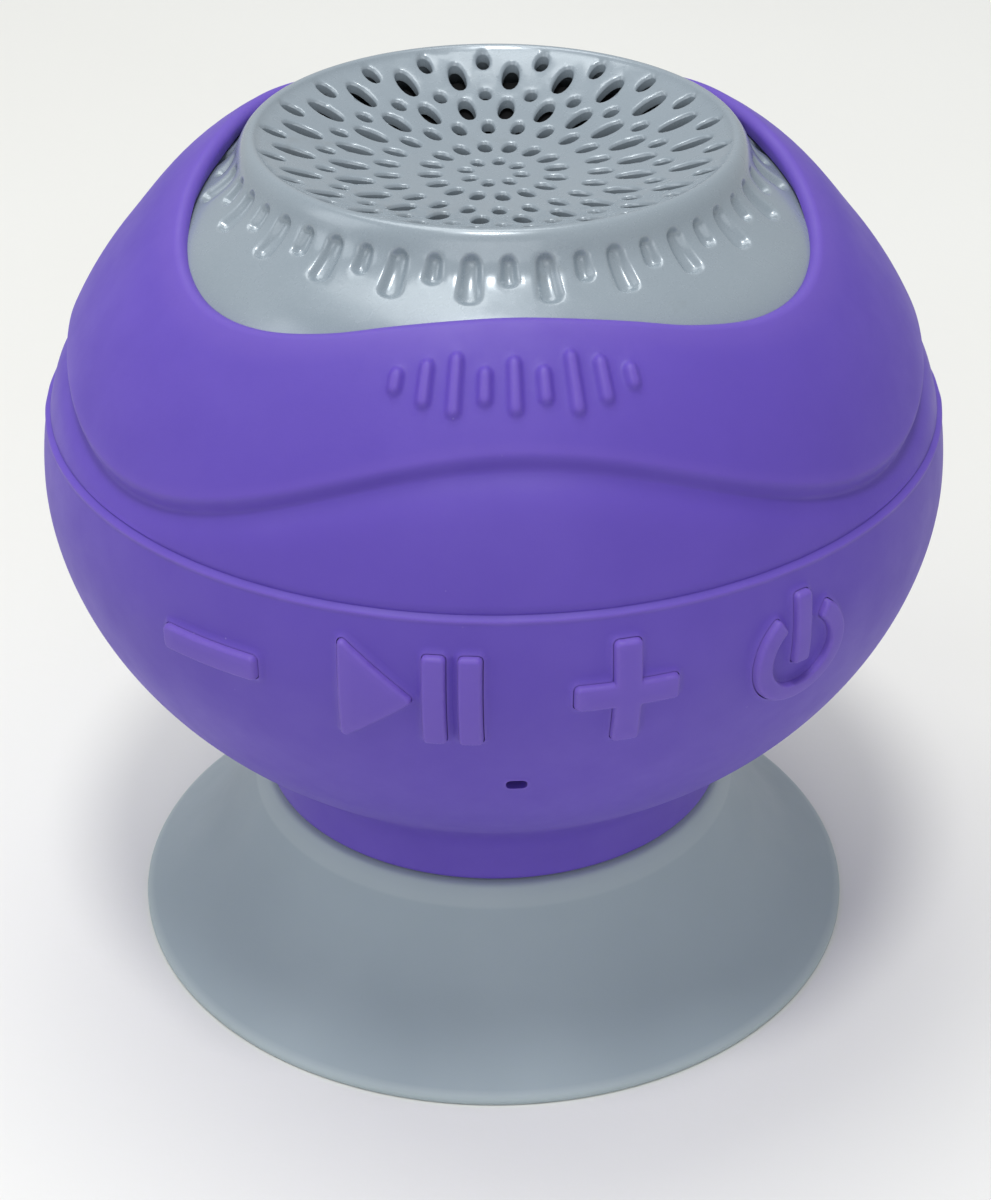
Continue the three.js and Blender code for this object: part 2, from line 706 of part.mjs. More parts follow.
// ---- driver: heights in its profiles are from the underside of its flange ----
const turnedDriver = (profile, segments) => turned(shifted(profile, 0, DRIVER_Z), segments);
const BASKET_PROFILE = [
  [16.9, 0], [24.2, 0], [24.2, 0.9], [16.0, 0.9], [16.0, -2.2],
  [12.6, -9.2], [8.2, -9.2], [8.2, -10.1], [13.4, -10.1], [16.9, -2.6],
];
const DRIVER_PARTS = [
  // name, finish, segments, profile
  ["top_plate", FINISH.pole, 20, [[5.7, -12.7], [12.0, -12.7], [12.0, -10.4], [5.7, -10.4]]],
  ["magnet", FINISH.magnet, 20, [[7.0, -19.0], [13.5, -19.0], [13.5, -13.0], [7.0, -13.0]]],
  ["yoke", FINISH.pole, 20, [
    [0, -21.8], [12.6, -21.8], [12.6, -19.3], [4.5, -19.3], [4.5, -10.4], [0, -10.4],
  ]],
  ["voice_coil", FINISH.coil, 20, [[4.9, -14.6], [5.3, -14.6], [5.3, -5.2], [4.9, -5.2]]],
  ["cone", FINISH.cone, 28, [
    [5.6, -6.3], [13.2, -0.3], [13.2, 0.3], [5.0, -4.8], [5.0, -5.0], [5.6, -5.1],
  ]],
  ["surround", FINISH.surround, 24, [
    [13.5, 0], [14.0, 1.1], [14.8, 1.2], [17.2, 1.2],
    [17.2, 1.6], [14.7, 1.7], [13.6, 1.4], [13.4, 0.4],
  ]],
  ["spider", FINISH.spider, 20, [
    [5.7, -7.6], [7.4, -7.2], [9.1, -7.9], [10.8, -7.3], [12.3, -7.6],
    [12.3, -7.3], [10.8, -7.0], [9.1, -7.6], [7.4, -6.9], [5.7, -7.3],
  ]],
  ["dust_cap", FINISH.dustCap, 20, [
    [0, -2.6], [3.0, -3.0], [5.3, -4.1], [5.5, -3.8], [3.1, -2.5], [0, -2.1],
  ]],
];

// Basket with four side windows and the flange's screw holes.
function driverBasket() {
  let basket = turnedDriver(BASKET_PROFILE, 24);
  for (const azimuth of [0, 90, 180, 270])
    basket = basket.subtract(facing(box(11, 5.4, 12, 0, DRIVER_Z - 6.2, 16), azimuth));
  for (const place of DRIVER_SCREWS) basket = basket.subtract(post(1.15, 70, 76, place));
  return basket;
}

const gasket = turnedRing(18.6, 21.0, FLANGE_TOP + GAP, DRIVER_Z - GAP, 28);
add("driver_gasket", FINISH.gasket, gasket);
add("driver_basket", FINISH.basket, driverBasket());
for (const [name, finish, segments, profile] of DRIVER_PARTS)
  add(name, finish, turnedDriver(profile, segments));
addScrews("driver_screw", DRIVER_SCREWS, {
  head: [1.7, DRIVER_Z + 1.2, DRIVER_Z + 2.3],
  shank: [0.85, 68.0, DRIVER_Z + 1.5],
  slot: [2.0, 0.45, 1.0],
  slotZ: DRIVER_Z + 2.3,
});

// ---- electronics ----
function circuitBoard() {
  let board = post(BOARD_R, BOARD_Z, BOARD_TOP, [0, 0], 32);
  for (const place of HOUSING_SCREWS) board = board.subtract(post(3.8, 40, 60, place));
  for (const place of BOARD_SCREWS) board = board.subtract(post(1.1, 40, 60, place));
  return board.subtract(post(2.4, 40, 60, [0, 20], 14)); // hole at the speaker leads
}

// Micro charging socket: a shell open towards the back with a tongue inside.
function chargingSocket() {
  const socket = block(7.6, 2.9, 5.6, 0, PORT_Z, 34.5)
    .subtract(block(6.8, 2.1, 5.0, 0, PORT_Z, 35.2))
    .add(block(4.2, 0.6, 4.0, 0, PORT_Z + 0.2, 33.7));
  return facing(geometryOf(socket), PORT_AZIMUTH);
}

add("circuit_board", FINISH.board, circuitBoard());
addScrews("board_screw", BOARD_SCREWS, {
  head: [1.9, BOARD_TOP + 0.2, BOARD_TOP + 1.5],
  shank: [0.75, 42, BOARD_TOP + 0.6],
  slot: [2.2, 0.5, 1.0],
  slotZ: BOARD_TOP + 1.5,
});
add("radio_module", FINISH.radio, block(11, 12, 2.0, 20.5, 4, BOARD_TOP + 1.1));
add("amplifier_chip", FINISH.chip, block(5, 5, 1.0, -17, -12, BOARD_TOP + 0.6));
add("battery_connector", FINISH.connector, block(6, 5.6, 3.2, -24, 4.6, BOARD_Z - 1.9));
add("charging_socket", FINISH.socket, chargingSocket());

// ---- microphone: capsule in a rubber boot behind the slot ----
const BOOT_FRONT = -HOUSING_INSET - 1.2; // boot's outer end along the body's normal

function micBoot() {
  return micPost(3.0, BOOT_FRONT - 3.4, BOOT_FRONT, 16)
    .subtract(micPost(2.35, BOOT_FRONT - 5, BOOT_FRONT - 0.7, 14))
    .subtract(micPost(0.8, BOOT_FRONT - 5, BOOT_FRONT + 1, 10));
}
add("mic_boot", FINISH.micBoot, micBoot());
add("mic_capsule", FINISH.micCapsule, micPost(2.05, BOOT_FRONT - 3.2, BOOT_FRONT - 1.0, 16));

// ---- battery: flat cell in a cradle, with a foam pad between cell and board ----
function batterySlab(width, length, corner, steps, z0, z1) {
  const slab = prism(rounded(width, length, corner, steps), z0, z1);
  slab.translate(0, BATTERY_Y, 0);
  return solid(slab);
}

// Open tray on three feet that end just above the housing floor.
function batteryCradle() {
  const tray = batterySlab(38, 26, 2.4, 3, 35.0, 41.5);
  const hollow = batterySlab(34.8, 22.8, 1.8, 3, 37.1, 50);
  const places = [[-13, -8.2], [13, -8.2], [0, 14.9]];
  const feet = places.map((place) => post(1.8, 19.2, 35.5, place, 10));
  return joined([tray.subtract(hollow), ...feet]);
}
add("battery_cell", FINISH.cell, batterySlab(34, 22, 1.6, 3, 37.4, 43.4));
add("battery_foam", FINISH.foam, batterySlab(30, 18, 1.2, 2, 43.7, 46.6));
add("battery_cradle", FINISH.cradle, batteryCradle());

// ---- leads ----
// Six-sided insulated lead along a smooth curve.
function lead(points, steps) {
  const radius = 0.55;
  const curve = new THREE.CatmullRomCurve3(points.map((point) => new THREE.Vector3(...point)));
  const section = [];
  for (let i = 0; i < 6; i++) {
    const angle = (i * Math.PI) / 3;
    section.push(new THREE.Vector2(radius * Math.cos(angle), radius * Math.sin(angle)));
  }
  const options = { steps, bevelEnabled: false, extrudePath: curve };
  return solid(new THREE.ExtrudeGeometry(new THREE.Shape(section), options));
}

const batteryLead = (y) => lead([[-17.4, y, 42.5], [-18.6, y, 43.2], [-20.7, y, 44.8]], 6);

// side: 1 for +X, -1 for -X
function speakerLead(side) {
  const path = [[1.2, 20, 48.2], [1.0, 20.2, 54], [8, 17.5, 58], [14.6, 9, 61], [15.0, 4, 63.6]];
  return lead(path.map(([x, y, z]) => [side * x, y, z]), 8);
}
add("battery_lead_red", FINISH.leadRed, batteryLead(6));
add("battery_lead_black", FINISH.leadBlack, batteryLead(3.2));
add("speaker_lead_red", FINISH.leadRed, speakerLead(1));
add("speaker_lead_black", FINISH.leadBlack, speakerLead(-1));

// ---- charging-port cover: a flap flush in the skin, with a small lip near its upper edge ----
function portCover() {
  const flap = portPrism(PORT_W - 2 * GAP, PORT_H - 2 * GAP, 1.4, 3, 34);
  const lip = facing(box(3.4, 0.9, 0.9, 0, PORT_Z + PORT_H / 2 - 0.9, 42.6), PORT_AZIMUTH);
  return flap.intersect(bodyCore(0)).subtract(bodyCore(SKIN_T - 0.2)).add(lip);
}
add("port_cover", FINISH.skin, portCover());

export default root;
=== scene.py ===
"""A ball-shaped speaker in a silicone skin, standing on a suction cup.

The axis is Z and the cup's rim rests on z = 0. The front, with the four keys and the level
bars, faces -Y; the charging port is at the back, +Y. Azimuth theta is 0 at the front and grows
towards +X. Shapes are worked out in mm and become metres in make_mesh. One point attribute
pales the colour, 1 being palest: on the keys' and bars' tops it stands for wear; on edges, rims,
the parting bead, the opening's lip and round the grille's holes and dimples it is a painted
highlight.
"""

import json
import math

import bpy
import numpy as np
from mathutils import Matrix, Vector
from mathutils.geometry import delaunay_2d_cdt


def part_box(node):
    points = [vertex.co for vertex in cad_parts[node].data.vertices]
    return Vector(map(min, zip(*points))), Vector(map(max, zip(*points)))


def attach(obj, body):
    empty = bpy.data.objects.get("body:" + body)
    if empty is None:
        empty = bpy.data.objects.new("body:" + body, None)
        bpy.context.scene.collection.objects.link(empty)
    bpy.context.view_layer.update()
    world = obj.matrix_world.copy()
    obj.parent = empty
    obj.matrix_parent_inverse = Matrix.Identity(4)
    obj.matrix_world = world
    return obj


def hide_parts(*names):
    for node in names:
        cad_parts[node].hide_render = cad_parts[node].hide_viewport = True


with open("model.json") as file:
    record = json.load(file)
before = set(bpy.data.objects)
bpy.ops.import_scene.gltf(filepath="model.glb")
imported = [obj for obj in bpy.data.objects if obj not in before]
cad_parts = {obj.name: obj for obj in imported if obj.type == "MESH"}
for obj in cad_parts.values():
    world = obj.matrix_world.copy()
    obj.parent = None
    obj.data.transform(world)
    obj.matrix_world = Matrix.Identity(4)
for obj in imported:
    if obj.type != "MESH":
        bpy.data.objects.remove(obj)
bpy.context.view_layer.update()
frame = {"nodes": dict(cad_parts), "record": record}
MM = 0.001

# ------------------------------------------------------------------ mesh helpers


class Shell:
    """Collects points in mm, their paling values (wear, and painted highlight), and faces that
    index the points.
    """

    def __init__(self):
        self.points, self.rub, self.faces, self.count = [], [], [], 0

    def add(self, points, rub=0.0):
        """Adds points and returns their indices."""
        points = np.asarray(points, float).reshape(-1, 3)
        start = self.count
        self.points.append(points)
        self.rub.append(np.broadcast_to(np.asarray(rub, float), (len(points),)))
        self.count += len(points)
        return np.arange(start, self.count)

    def join(self, a, b, across=False):
        """Quads between closed loops a and b; the first side runs along a, or across to b."""
        for i in range(len(a)):
            k = (i + 1) % len(a)
            self.faces.append((a[i], b[i], b[k], a[k]) if across else (a[i], a[k], b[k], b[i]))


def make_mesh(name, shell, sharp_deg):
    """Smooth-shaded object from a shell's used points, sharp at edges above an angle."""
    points, rub = np.concatenate(shell.points), np.concatenate(shell.rub)
    used = np.zeros(len(points), bool)
    for face in shell.faces:
        used[list(face)] = True
    number = np.cumsum(used) - 1
    faces = [number[list(face)].tolist() for face in shell.faces]
    mesh = bpy.data.meshes.new(name)
    mesh.from_pydata((points[used] * MM).tolist(), [], faces)
    mesh.validate()
    # the paling attribute: wear on the keys' and bars' tops, painted highlight on edges and rims
    attribute = mesh.attributes.new("rub", "FLOAT", "POINT")
    attribute.data.foreach_set("value", rub[used].astype(np.float32))
    mesh.shade_smooth()
    mesh.set_sharp_from_angle(angle=math.radians(sharp_deg))
    ob = bpy.data.objects.new(name, mesh)
    bpy.context.scene.collection.objects.link(ob)
    return ob


new_parts = []  # (object, material slot)


def register(ob, cad_name, slot, mover):
    """Hides the CAD piece the object stands for, hangs the object on the body it moves with, and
    keeps its material slot.
    """
    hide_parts(cad_name)
    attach(ob, mover)
    new_parts.append((ob, slot))


def triangulate(loops, fill):
    """Triangles of the hull of 2D loops and fill points, holding every loop's edges.
    Returns the points, the triangles, each point's input number (-1 if new), and the loops
    as lists of point numbers."""
    edges, numbered, start = [], [], 0
    for loop in loops:
        numbers = list(range(start, start + len(loop)))
        edges += zip(numbers, numbers[1:] + numbers[:1])
        numbered.append(numbers)
        start += len(loop)
    vectors = [Vector((float(x), float(y))) for x, y in np.vstack([*loops, fill])]
    result = delaunay_2d_cdt(vectors, edges, [], 0, 1e-6, True)
    points = np.array([[v.x, v.y] for v in result[0]])
    triangles = [tuple(face) for face in result[2]]
    source = [origin[0] if len(origin) else -1 for origin in result[3]]
    place = {s: i for i, s in enumerate(source) if s >= 0}
    return points, triangles, source, [[place[n] for n in numbers] for numbers in numbered]


def oriented(points, face, ccw=True):
    """A triangle's indices, running counterclockwise or clockwise in 2D."""
    a, b, c = points[list(face)]
    area = (b[0] - a[0]) * (c[1] - a[1]) - (b[1] - a[1]) * (c[0] - a[0])
    return list(face) if (area > 0) == ccw else list(face)[::-1]


def centroids(points, triangles):
    return points[np.array(triangles)].mean(1)


def thin(points, keep, gap):
    """The points that lie no closer than gap to any in keep."""
    cells = {}
    for p in keep:
        cells.setdefault((int(p[0] // gap), int(p[1] // gap)), []).append(p)

    def crowded(p):
        ci, cj = int(p[0] // gap), int(p[1] // gap)
        return any((q[0] - p[0]) ** 2 + (q[1] - p[1]) ** 2 < gap * gap
                   for i in (ci - 1, ci, ci + 1) for j in (cj - 1, cj, cj + 1)
                   for q in cells.get((i, j), ()))

    return np.array([p for p in points if not crowded(p)]).reshape(-1, 2)


def grid_points(xs, ys):
    gx, gy = np.meshgrid(xs, ys)
    return np.column_stack([gx.ravel(), gy.ravel()])


def staggered(rim, step, bottom, top, right):
    """Grid points inside a rim's box, every other row shifted, with margins."""
    (x0, y0), (x1, y1) = rim.min(0), rim.max(0)
    xs = np.arange(x0 + step, x1 - step * 0.5, step)
    ys = np.arange(y0 + bottom, y1 - top, step)
    grid = np.array([(x + (0.5 * step if k % 2 else 0), y) for k, y in enumerate(ys) for x in xs])
    return grid[grid[:, 0] < x1 - right]


def window_rim(rows, columns):
    """(row, column) of the grid points round a window of cells, starting along its first row."""
    r0, r1, c0, c1 = rows.start, rows.stop, columns.start, columns.stop
    return ([(r0, j) for j in range(c0, c1 + 1)] + [(i, c1) for i in range(r0 + 1, r1)]
            + [(r1, j) for j in range(c1, c0 - 1, -1)] + [(i, c0) for i in range(r1 - 1, r0, -1)])


# ------------------------------------------------------------------ curves and outlines


def smooth(low, high, x):
    t = np.clip((np.asarray(x, float) - low) / (high - low), 0, 1)
    return t * t * (3 - 2 * t)


def hermite(u):
    """Cubic weights of the start point, start slope, end point and end slope."""
    return (2 * u ** 3 - 3 * u ** 2 + 1, u ** 3 - 2 * u ** 2 + u,
            3 * u ** 2 - 2 * u ** 3, u ** 3 - u ** 2)


def edge_drop(distance, radius):
    """How far a quarter-round edge falls, at a distance in from the outline."""
    inset = np.clip(radius - distance, 0, radius)
    return radius - np.sqrt(np.maximum(0, radius * radius - inset * inset))


def resample(loop, spacing):
    loop = np.asarray(loop, float)
    along = np.concatenate([[0], np.cumsum(np.hypot(*(np.roll(loop, -1, 0) - loop).T))])
    count = max(6, int(round(along[-1] / spacing)))
    s = np.linspace(0, along[-1], count, endpoint=False)
    closed = np.vstack([loop, loop[:1]])
    return np.column_stack([np.interp(s, along, closed[:, 0]), np.interp(s, along, closed[:, 1])])


# cell sides crossed, from and to, for each pattern of inside corners;
# sides are 0 bottom, 1 right, 2 top, 3 left
CROSSINGS = {
    1: [(3, 0)], 2: [(0, 1)], 3: [(3, 1)], 4: [(1, 2)], 5: [(3, 0), (1, 2)], 6: [(0, 2)],
    7: [(3, 2)], 8: [(2, 3)], 9: [(2, 0)], 10: [(0, 1), (2, 3)], 11: [(2, 1)], 12: [(1, 3)],
    13: [(1, 0)], 14: [(0, 3)]}


def contours(sdf, box, level, step):
    """Loops of sdf(x, y) = level inside box, by marching squares. Outer loops run clockwise."""
    x0, x1, y0, y1 = box
    xs = np.arange(x0, x1 + step, step)
    ys = np.arange(y0, y1 + step, step)
    field = sdf(*np.meshgrid(xs, ys, indexing="ij")) - level
    field[np.abs(field) < 1e-9] = 1e-9
    inside = field < 0

    def crossing(key):
        i, j, upright = key
        here = field[i, j]
        if upright:
            return xs[i], ys[j] + here / (here - field[i, j + 1]) * step
        return xs[i] + here / (here - field[i + 1, j]) * step, ys[j]

    cells = (inside[:-1, :-1].astype(int) + 2 * inside[1:, :-1] + 4 * inside[1:, 1:]
             + 8 * inside[:-1, 1:])
    following = {}
    for i, j in zip(*np.nonzero((cells > 0) & (cells < 15))):
        sides = [(i, j, 0), (i + 1, j, 1), (i, j + 1, 0), (i, j, 1)]
        for a, b in CROSSINGS[int(cells[i, j])]:
            following[sides[a]] = sides[b]
    loops = []
    while following:
        start, current = next(iter(following.items()))
        del following[start]
        chain = [start]
        while current != start and current in following:
            chain.append(current)
            current = following.pop(current)
        if len(chain) > 5:
            loops.append(np.array([crossing(key) for key in chain]))
    return loops


def rings(sdf, box, cell, levels):
    """Evenly spaced contour loops of sdf, for each (level, point spacing)."""
    return [resample(loop, spacing) for level, spacing in levels
            for loop in contours(sdf, box, level, cell)]


def corner(qx, qy):
    return np.hypot(np.maximum(qx, 0), np.maximum(qy, 0)) + np.minimum(np.maximum(qx, qy), 0)


def sd_box(x, y, cx, cy, half_width, half_height, radius):
    return corner(np.abs(x - cx) - half_width + radius,
                  np.abs(y - cy) - half_height + radius) - radius


def sd_poly(x, y, corners):
    x, y = np.asarray(x, float), np.asarray(y, float)
    nearest = np.full(x.shape, 1e9)
    sign = np.ones(x.shape)
    for i in range(len(corners)):
        ax, ay = corners[i]
        bx, by = corners[i - 1]
        ex, ey = bx - ax, by - ay
        wx, wy = x - ax, y - ay
        t = np.clip((wx * ex + wy * ey) / (ex * ex + ey * ey), 0, 1)
        nearest = np.minimum(nearest, (wx - ex * t) ** 2 + (wy - ey * t) ** 2)
        above, below, left = y >= ay, y < by, ex * wy > ey * wx
        flip = (above & below & left) | (~above & ~below & ~left)
        sign = np.where(flip, -sign, sign)
    return sign * np.sqrt(nearest)


def sd_arc(x, y, cx, cy, radius, half, gap_deg, soft=0.35):
    """A ring stroke open at the top by gap_deg each side, its ends slightly rounded."""
    px, py = x - cx, y - cy
    gap = math.radians(gap_deg)
    stroke = np.abs(np.hypot(px, py) - radius) - half
    past_end = -(np.abs(px) * math.cos(gap) + py * -math.sin(gap))
    past_end = np.where(py < 0, -1.0, past_end)
    return corner(stroke + soft, past_end + soft) - soft


# ------------------------------------------------------------------ body curves

CUP_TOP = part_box("silicone_skin")[0].z / MM
BODY_R = 42.28  # widest radius, at height BODY_Z
BODY_Z, LOWER_H, UPPER_H = 50.8, 34.3, 36.3
SKIN_T = 1.8
FOLD = 1.05  # depth of the fold under the upper band
GROOVE = 0.28  # how far the face above the parting line sits in
PARTING_Z = 57.0
LIP_R = 0.9  # rounding of the opening's edge
LIP_START = 0.35  # the rounding starts this far below the opening's edge

# opening's edge: azimuth from the front in degrees, height
OPENING = np.array([
    (0, 77.65), (10, 77.4), (20, 76.75), (30, 75.7), (40, 74.85), (48, 74.6), (55, 74.8),
    (62, 75.45), (70, 76.5), (80, 78.0), (90, 79.3), (100, 80.2), (115, 80.4), (180, 80.4)])
OPEN_SLOPE = np.zeros(len(OPENING))
OPEN_SLOPE[1:-1] = (OPENING[2:, 1] - OPENING[:-2, 1]) / (OPENING[2:, 0] - OPENING[:-2, 0])

# grille's outer flare, radius and height, from the crest outwards and down
FLARE = np.array([
    (21.2, 82.4), (21.32, 82.56), (21.5, 82.68), (21.75, 82.71), (22.05, 82.6), (22.35, 82.33),
    (22.62, 81.95), (22.86, 81.5), (23.12, 80.92), (23.5, 80.27), (24.05, 79.6), (24.8, 78.98),
    (25.7, 78.38), (26.9, 77.62), (28.3, 76.7), (29.8, 75.5), (31.1, 74.1), (32.0, 72.9),
    (32.5, 71.9)])


def bowl_r(z):
    """The body's outer curve, one ball from neck to opening."""
    z = np.asarray(z, float)
    low = np.clip((BODY_Z - z) / LOWER_H, 0, 1) ** 1.85
    high = np.clip((z - BODY_Z) / UPPER_H, 0, 1) ** 2
    return BODY_R * np.sqrt(np.maximum(1e-6, 1 - np.where(z < BODY_Z, low, high)))


def bowl_slope(z, step=0.02):
    return (bowl_r(z + step) - bowl_r(z - step)) / (2 * step)


def off_bowl(z, height, radius=bowl_r):
    """Radius and height of the curve's point at z, moved out along the bowl's normal."""
    slope = bowl_slope(z)
    length = np.sqrt(1 + slope * slope)
    return radius(z) + height / length, z - height * slope / length


INNER_CURVE_R, INNER_CURVE_Z = off_bowl(np.linspace(22.5, 57.5, 300), -SKIN_T)
BY_HEIGHT = np.argsort(INNER_CURVE_Z)


def inner_r(z):
    """Radius of the skin's inner face, in the bowl."""
    return np.interp(z, INNER_CURVE_Z[BY_HEIGHT], INNER_CURVE_R[BY_HEIGHT])


def crease_z(theta):
    """Height of the fold under the upper band."""
    return 62.85 + 2.85 * np.cos(2 * theta) + 2.53 * np.cos(4 * theta) - 0.38 * np.cos(6 * theta)


def from_front(theta):
    """Angle from the front in degrees, 0 to 180."""
    return np.abs(np.degrees(np.arctan2(np.sin(theta), np.cos(theta))))


def open_z(theta):
    """Height of the opening's edge: the table's points joined by cubics."""
    angle = from_front(theta)
    i = np.clip(np.searchsorted(OPENING[:, 0], angle, side="right") - 1, 0, len(OPENING) - 2)
    width = OPENING[i + 1, 0] - OPENING[i, 0]
    start, start_slope, end, end_slope = hermite((angle - OPENING[i, 0]) / width)
    return (start * OPENING[i, 1] + start_slope * width * OPEN_SLOPE[i]
            + end * OPENING[i + 1, 1] + end_slope * width * OPEN_SLOPE[i + 1])


def polar(r, z, theta):
    r, z, theta = np.broadcast_arrays(*(np.asarray(v, float) for v in (r, z, theta)))
    return np.stack([r * np.sin(theta), -r * np.cos(theta), z], -1)


def turned(x, y, z, centre_deg):
    """Points x across, y out from the axis and z up, turned to face an azimuth."""
    c = math.radians(centre_deg)
    return np.stack(np.broadcast_arrays(
        x * math.cos(c) + y * math.sin(c), x * math.sin(c) - y * math.cos(c), z), -1)


def on_bowl(x, z, height, centre_deg):
    """Points x across a facing azimuth, at a radial height over the bowl."""
    reach = bowl_r(z) + height
    return turned(x, np.sqrt(np.maximum(reach * reach - x * x, 0)), z, centre_deg)


def radial_depth(z, depth):
    """Radial length of a depth measured square to the bowl."""
    return depth * np.hypot(1, bowl_slope(z))


# ------------------------------------------------------------------ keys and openings

# outlines use x across the key's azimuth and y for height
KEY_BOX = (-7.4, 7.4, 42.0, 56.2)
HOLE_GAP = 0.045  # clearance round each key
PLAY_TRIANGLE = [(-5.9, 45.55), (-0.5, 49.75), (-5.9, 54.3)]


def minus_sdf(x, y):
    return sd_box(x, y, 0, 50.0, 4.9, 1.2, 0.5)


def play_pause_sdf(x, y):
    bars = [sd_box(x, y, cx, 49.72, 1.0, 4.42, 0.42) for cx in (1.75, 4.75)]
    return np.minimum(np.minimum(sd_poly(x, y, PLAY_TRIANGLE) - 0.42, bars[0]), bars[1])


def plus_sdf(x, y):
    return np.minimum(sd_box(x, y, -0.3, 49.85, 4.5, 1.2, 0.45),
                      sd_box(x, y, -0.3, 49.9, 1.2, 5.05, 0.45))


def power_sdf(x, y):
    return np.minimum(sd_arc(x, y, -0.25, 49.15, 4.15, 0.86, 33),
                      sd_box(x, y, -0.35, 51.65, 0.86, 3.45, 0.4))


# azimuth in degrees, outline, plate behind it (x from, x to, z from, z to)
KEYS = {
    "minus": (-37.2, minus_sdf, (-5.9, 5.9, 47.2, 53.4)),
    "play_pause": (-12.0, play_pause_sdf, (-6.9, 6.9, 43.4, 55.9)),
    "plus": (12.4, plus_sdf, (-5.6, 5.6, 43.5, 55.9)),
    "power": (35.0, power_sdf, (-6.7, 6.7, 42.6, 55.9)),
}
MIC_Z = 39.35
PORT_LO, PORT_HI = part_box("port_cover")
PORT_Z = (PORT_LO.z + PORT_HI.z) / 2 / MM
PORT_HALF_W, PORT_HALF_H = 6.5, 3.7


def mic_sdf(x, y):
    return sd_box(x, y, -0.12, MIC_Z, 0.92, 0.62, 0.48)


def port_sdf(x, y):
    return sd_box(x, y, 0, PORT_Z, PORT_HALF_W, PORT_HALF_H, 1.6)


def box_round(half_width, z, half_height):
    return (-half_width, half_width, z - half_height, z + half_height)


def local_x(theta, z, centre_deg, radius):
    return radius(z) * np.sin(theta - math.radians(centre_deg))


def to_theta(centre_deg, loop, radius=bowl_r):
    """A local outline as (theta, z), pressed straight onto a face of the skin."""
    ratio = np.clip(loop[:, 0] / radius(loop[:, 1]), -1, 1)
    return np.column_stack([math.radians(centre_deg) + np.arcsin(ratio), loop[:, 1]])


# ------------------------------------------------------------------ silicone skin: grid of rows

COLUMNS = 400


def column_theta(j):
    """Azimuth of a grid column; column COLUMNS / 2 is the front."""
    return (j - COLUMNS // 2) * 2 * math.pi / COLUMNS


THETA = column_theta(np.arange(COLUMNS))
skin = Shell()
grid_rows = []


def row(r, z, rub=0.0):
    grid_rows.append(skin.add(polar(r, z, THETA), rub))


# collar on the cup: radius, rise over the cup's top
COLLAR = [(21.0, 0), (22.2, 0), (22.55, 0.06), (22.74, 0.25), (22.8, 0.6)]
FILLET_R, FILLET_START_Z, FILLET_Z = 22.72, 19.7, 25.6
FILLET_PULL = 6.5  # strength of the fillet's end slopes


def neck_rows():
    for r, rise in COLLAR:
        row(r, rise + CUP_TOP)
    row(22.76, 18.0)
    slope = bowl_slope(FILLET_Z, 0.05)
    length = math.hypot(slope, 1)
    for i in range(12):
        start, start_slope, end, end_slope = hermite(i / 12)
        row(start * FILLET_R + end * bowl_r(FILLET_Z) + end_slope * FILLET_PULL * slope / length,
            start * FILLET_START_Z + start_slope * FILLET_PULL + end * FILLET_Z
            + end_slope * FILLET_PULL / length)


def bowl_heights():
    """Heights of the bowl rows, evenly spaced along the curve."""
    z = np.linspace(FILLET_Z, 56.3, 4000)
    along = np.concatenate([[0], np.cumsum(np.hypot(np.diff(bowl_r(z)), np.diff(z)))])
    return np.interp(np.linspace(0, along[-1], 62), along, z)


def parting_rows():
    """A thin proud bead with a narrow step over it, both slightly wavy."""
    wave = 0.03 * np.sin(9 * THETA + 1.3) * np.sin(23 * THETA) + 0.02 * np.sin(57 * THETA + 0.4)
    for z in [56.45, 56.62, 56.76, 56.88, 56.98, 57.08, 57.18, 57.28, 57.38, 57.48, 57.6]:
        bead = 0.12 * math.exp(-((z - PARTING_Z) / 0.19) ** 2)
        step_in = (GROOVE + 0.1) * smooth(57.12, 57.36, z) - 0.1 * smooth(57.4, 57.6, z)
        # the bead is painted paler: a painted highlight where light catches its top edge
        row(bowl_r(z) + bead * (1 + 4 * wave) - step_in,
            z + wave * math.exp(-((z - PARTING_Z) / 0.3) ** 2),
            0.75 * math.exp(-((z - 56.98) / 0.19) ** 2))


FACE_Z = 57.75  # foot of the face between the parting line and the fold
FACE_ROWS = 30
# heights over the fold of the band's first rows
FOLD_RISES = [0, 0.08, 0.17, 0.27, 0.39, 0.53, 0.7, 0.88, 1.06, 1.24, 1.42, 1.6, 1.76, 1.95,
              2.2, 2.6, 3.0]
crease, opening = crease_z(THETA), open_z(THETA)


def fold_rows():
    """The face up to the fold, then the foot of the upper band coming out of it."""
    for i in range(1, FACE_ROWS):
        z = FACE_Z + (crease - FACE_Z) * (1 - (1 - i / FACE_ROWS) ** 1.6)
        near_fold = np.exp(-(np.maximum(crease - z, 0) / 1.3) ** 1.5)
        row(bowl_r(z) - GROOVE - (FOLD - GROOVE) * near_fold, z)
    for rise in FOLD_RISES:
        inset = FOLD * (1 - smooth(0, 1.85, rise) ** 0.85)
        # a pale strip low on the band's foot above the fold: painted highlight
        row(bowl_r(crease + rise) - inset, crease + rise,
            0.25 * smooth(1.2, 1.8, rise) * (1 - smooth(1.8, 2.8, rise)))


def band_point(theta, v, height=0.0):
    """Upper band between the fold rows (v = 0) and the lip (v = 1), raised by height."""
    top = open_z(theta)
    z0 = crease_z(theta) + FOLD_RISES[-1]
    slope = bowl_slope(top)
    z1 = top - LIP_START / np.sqrt(1 + slope * slope)
    angle = from_front(theta)
    # the shoulders round the sides and back stand fuller
    height = (height + 0.95 * smooth(60, 100, angle) * (1 - 0.8 * smooth(122, 155, angle))
              * smooth(0.45, 1.0, v))
    return off_bowl(z0 + (z1 - z0) * v, height)


BAND_ROWS = 22


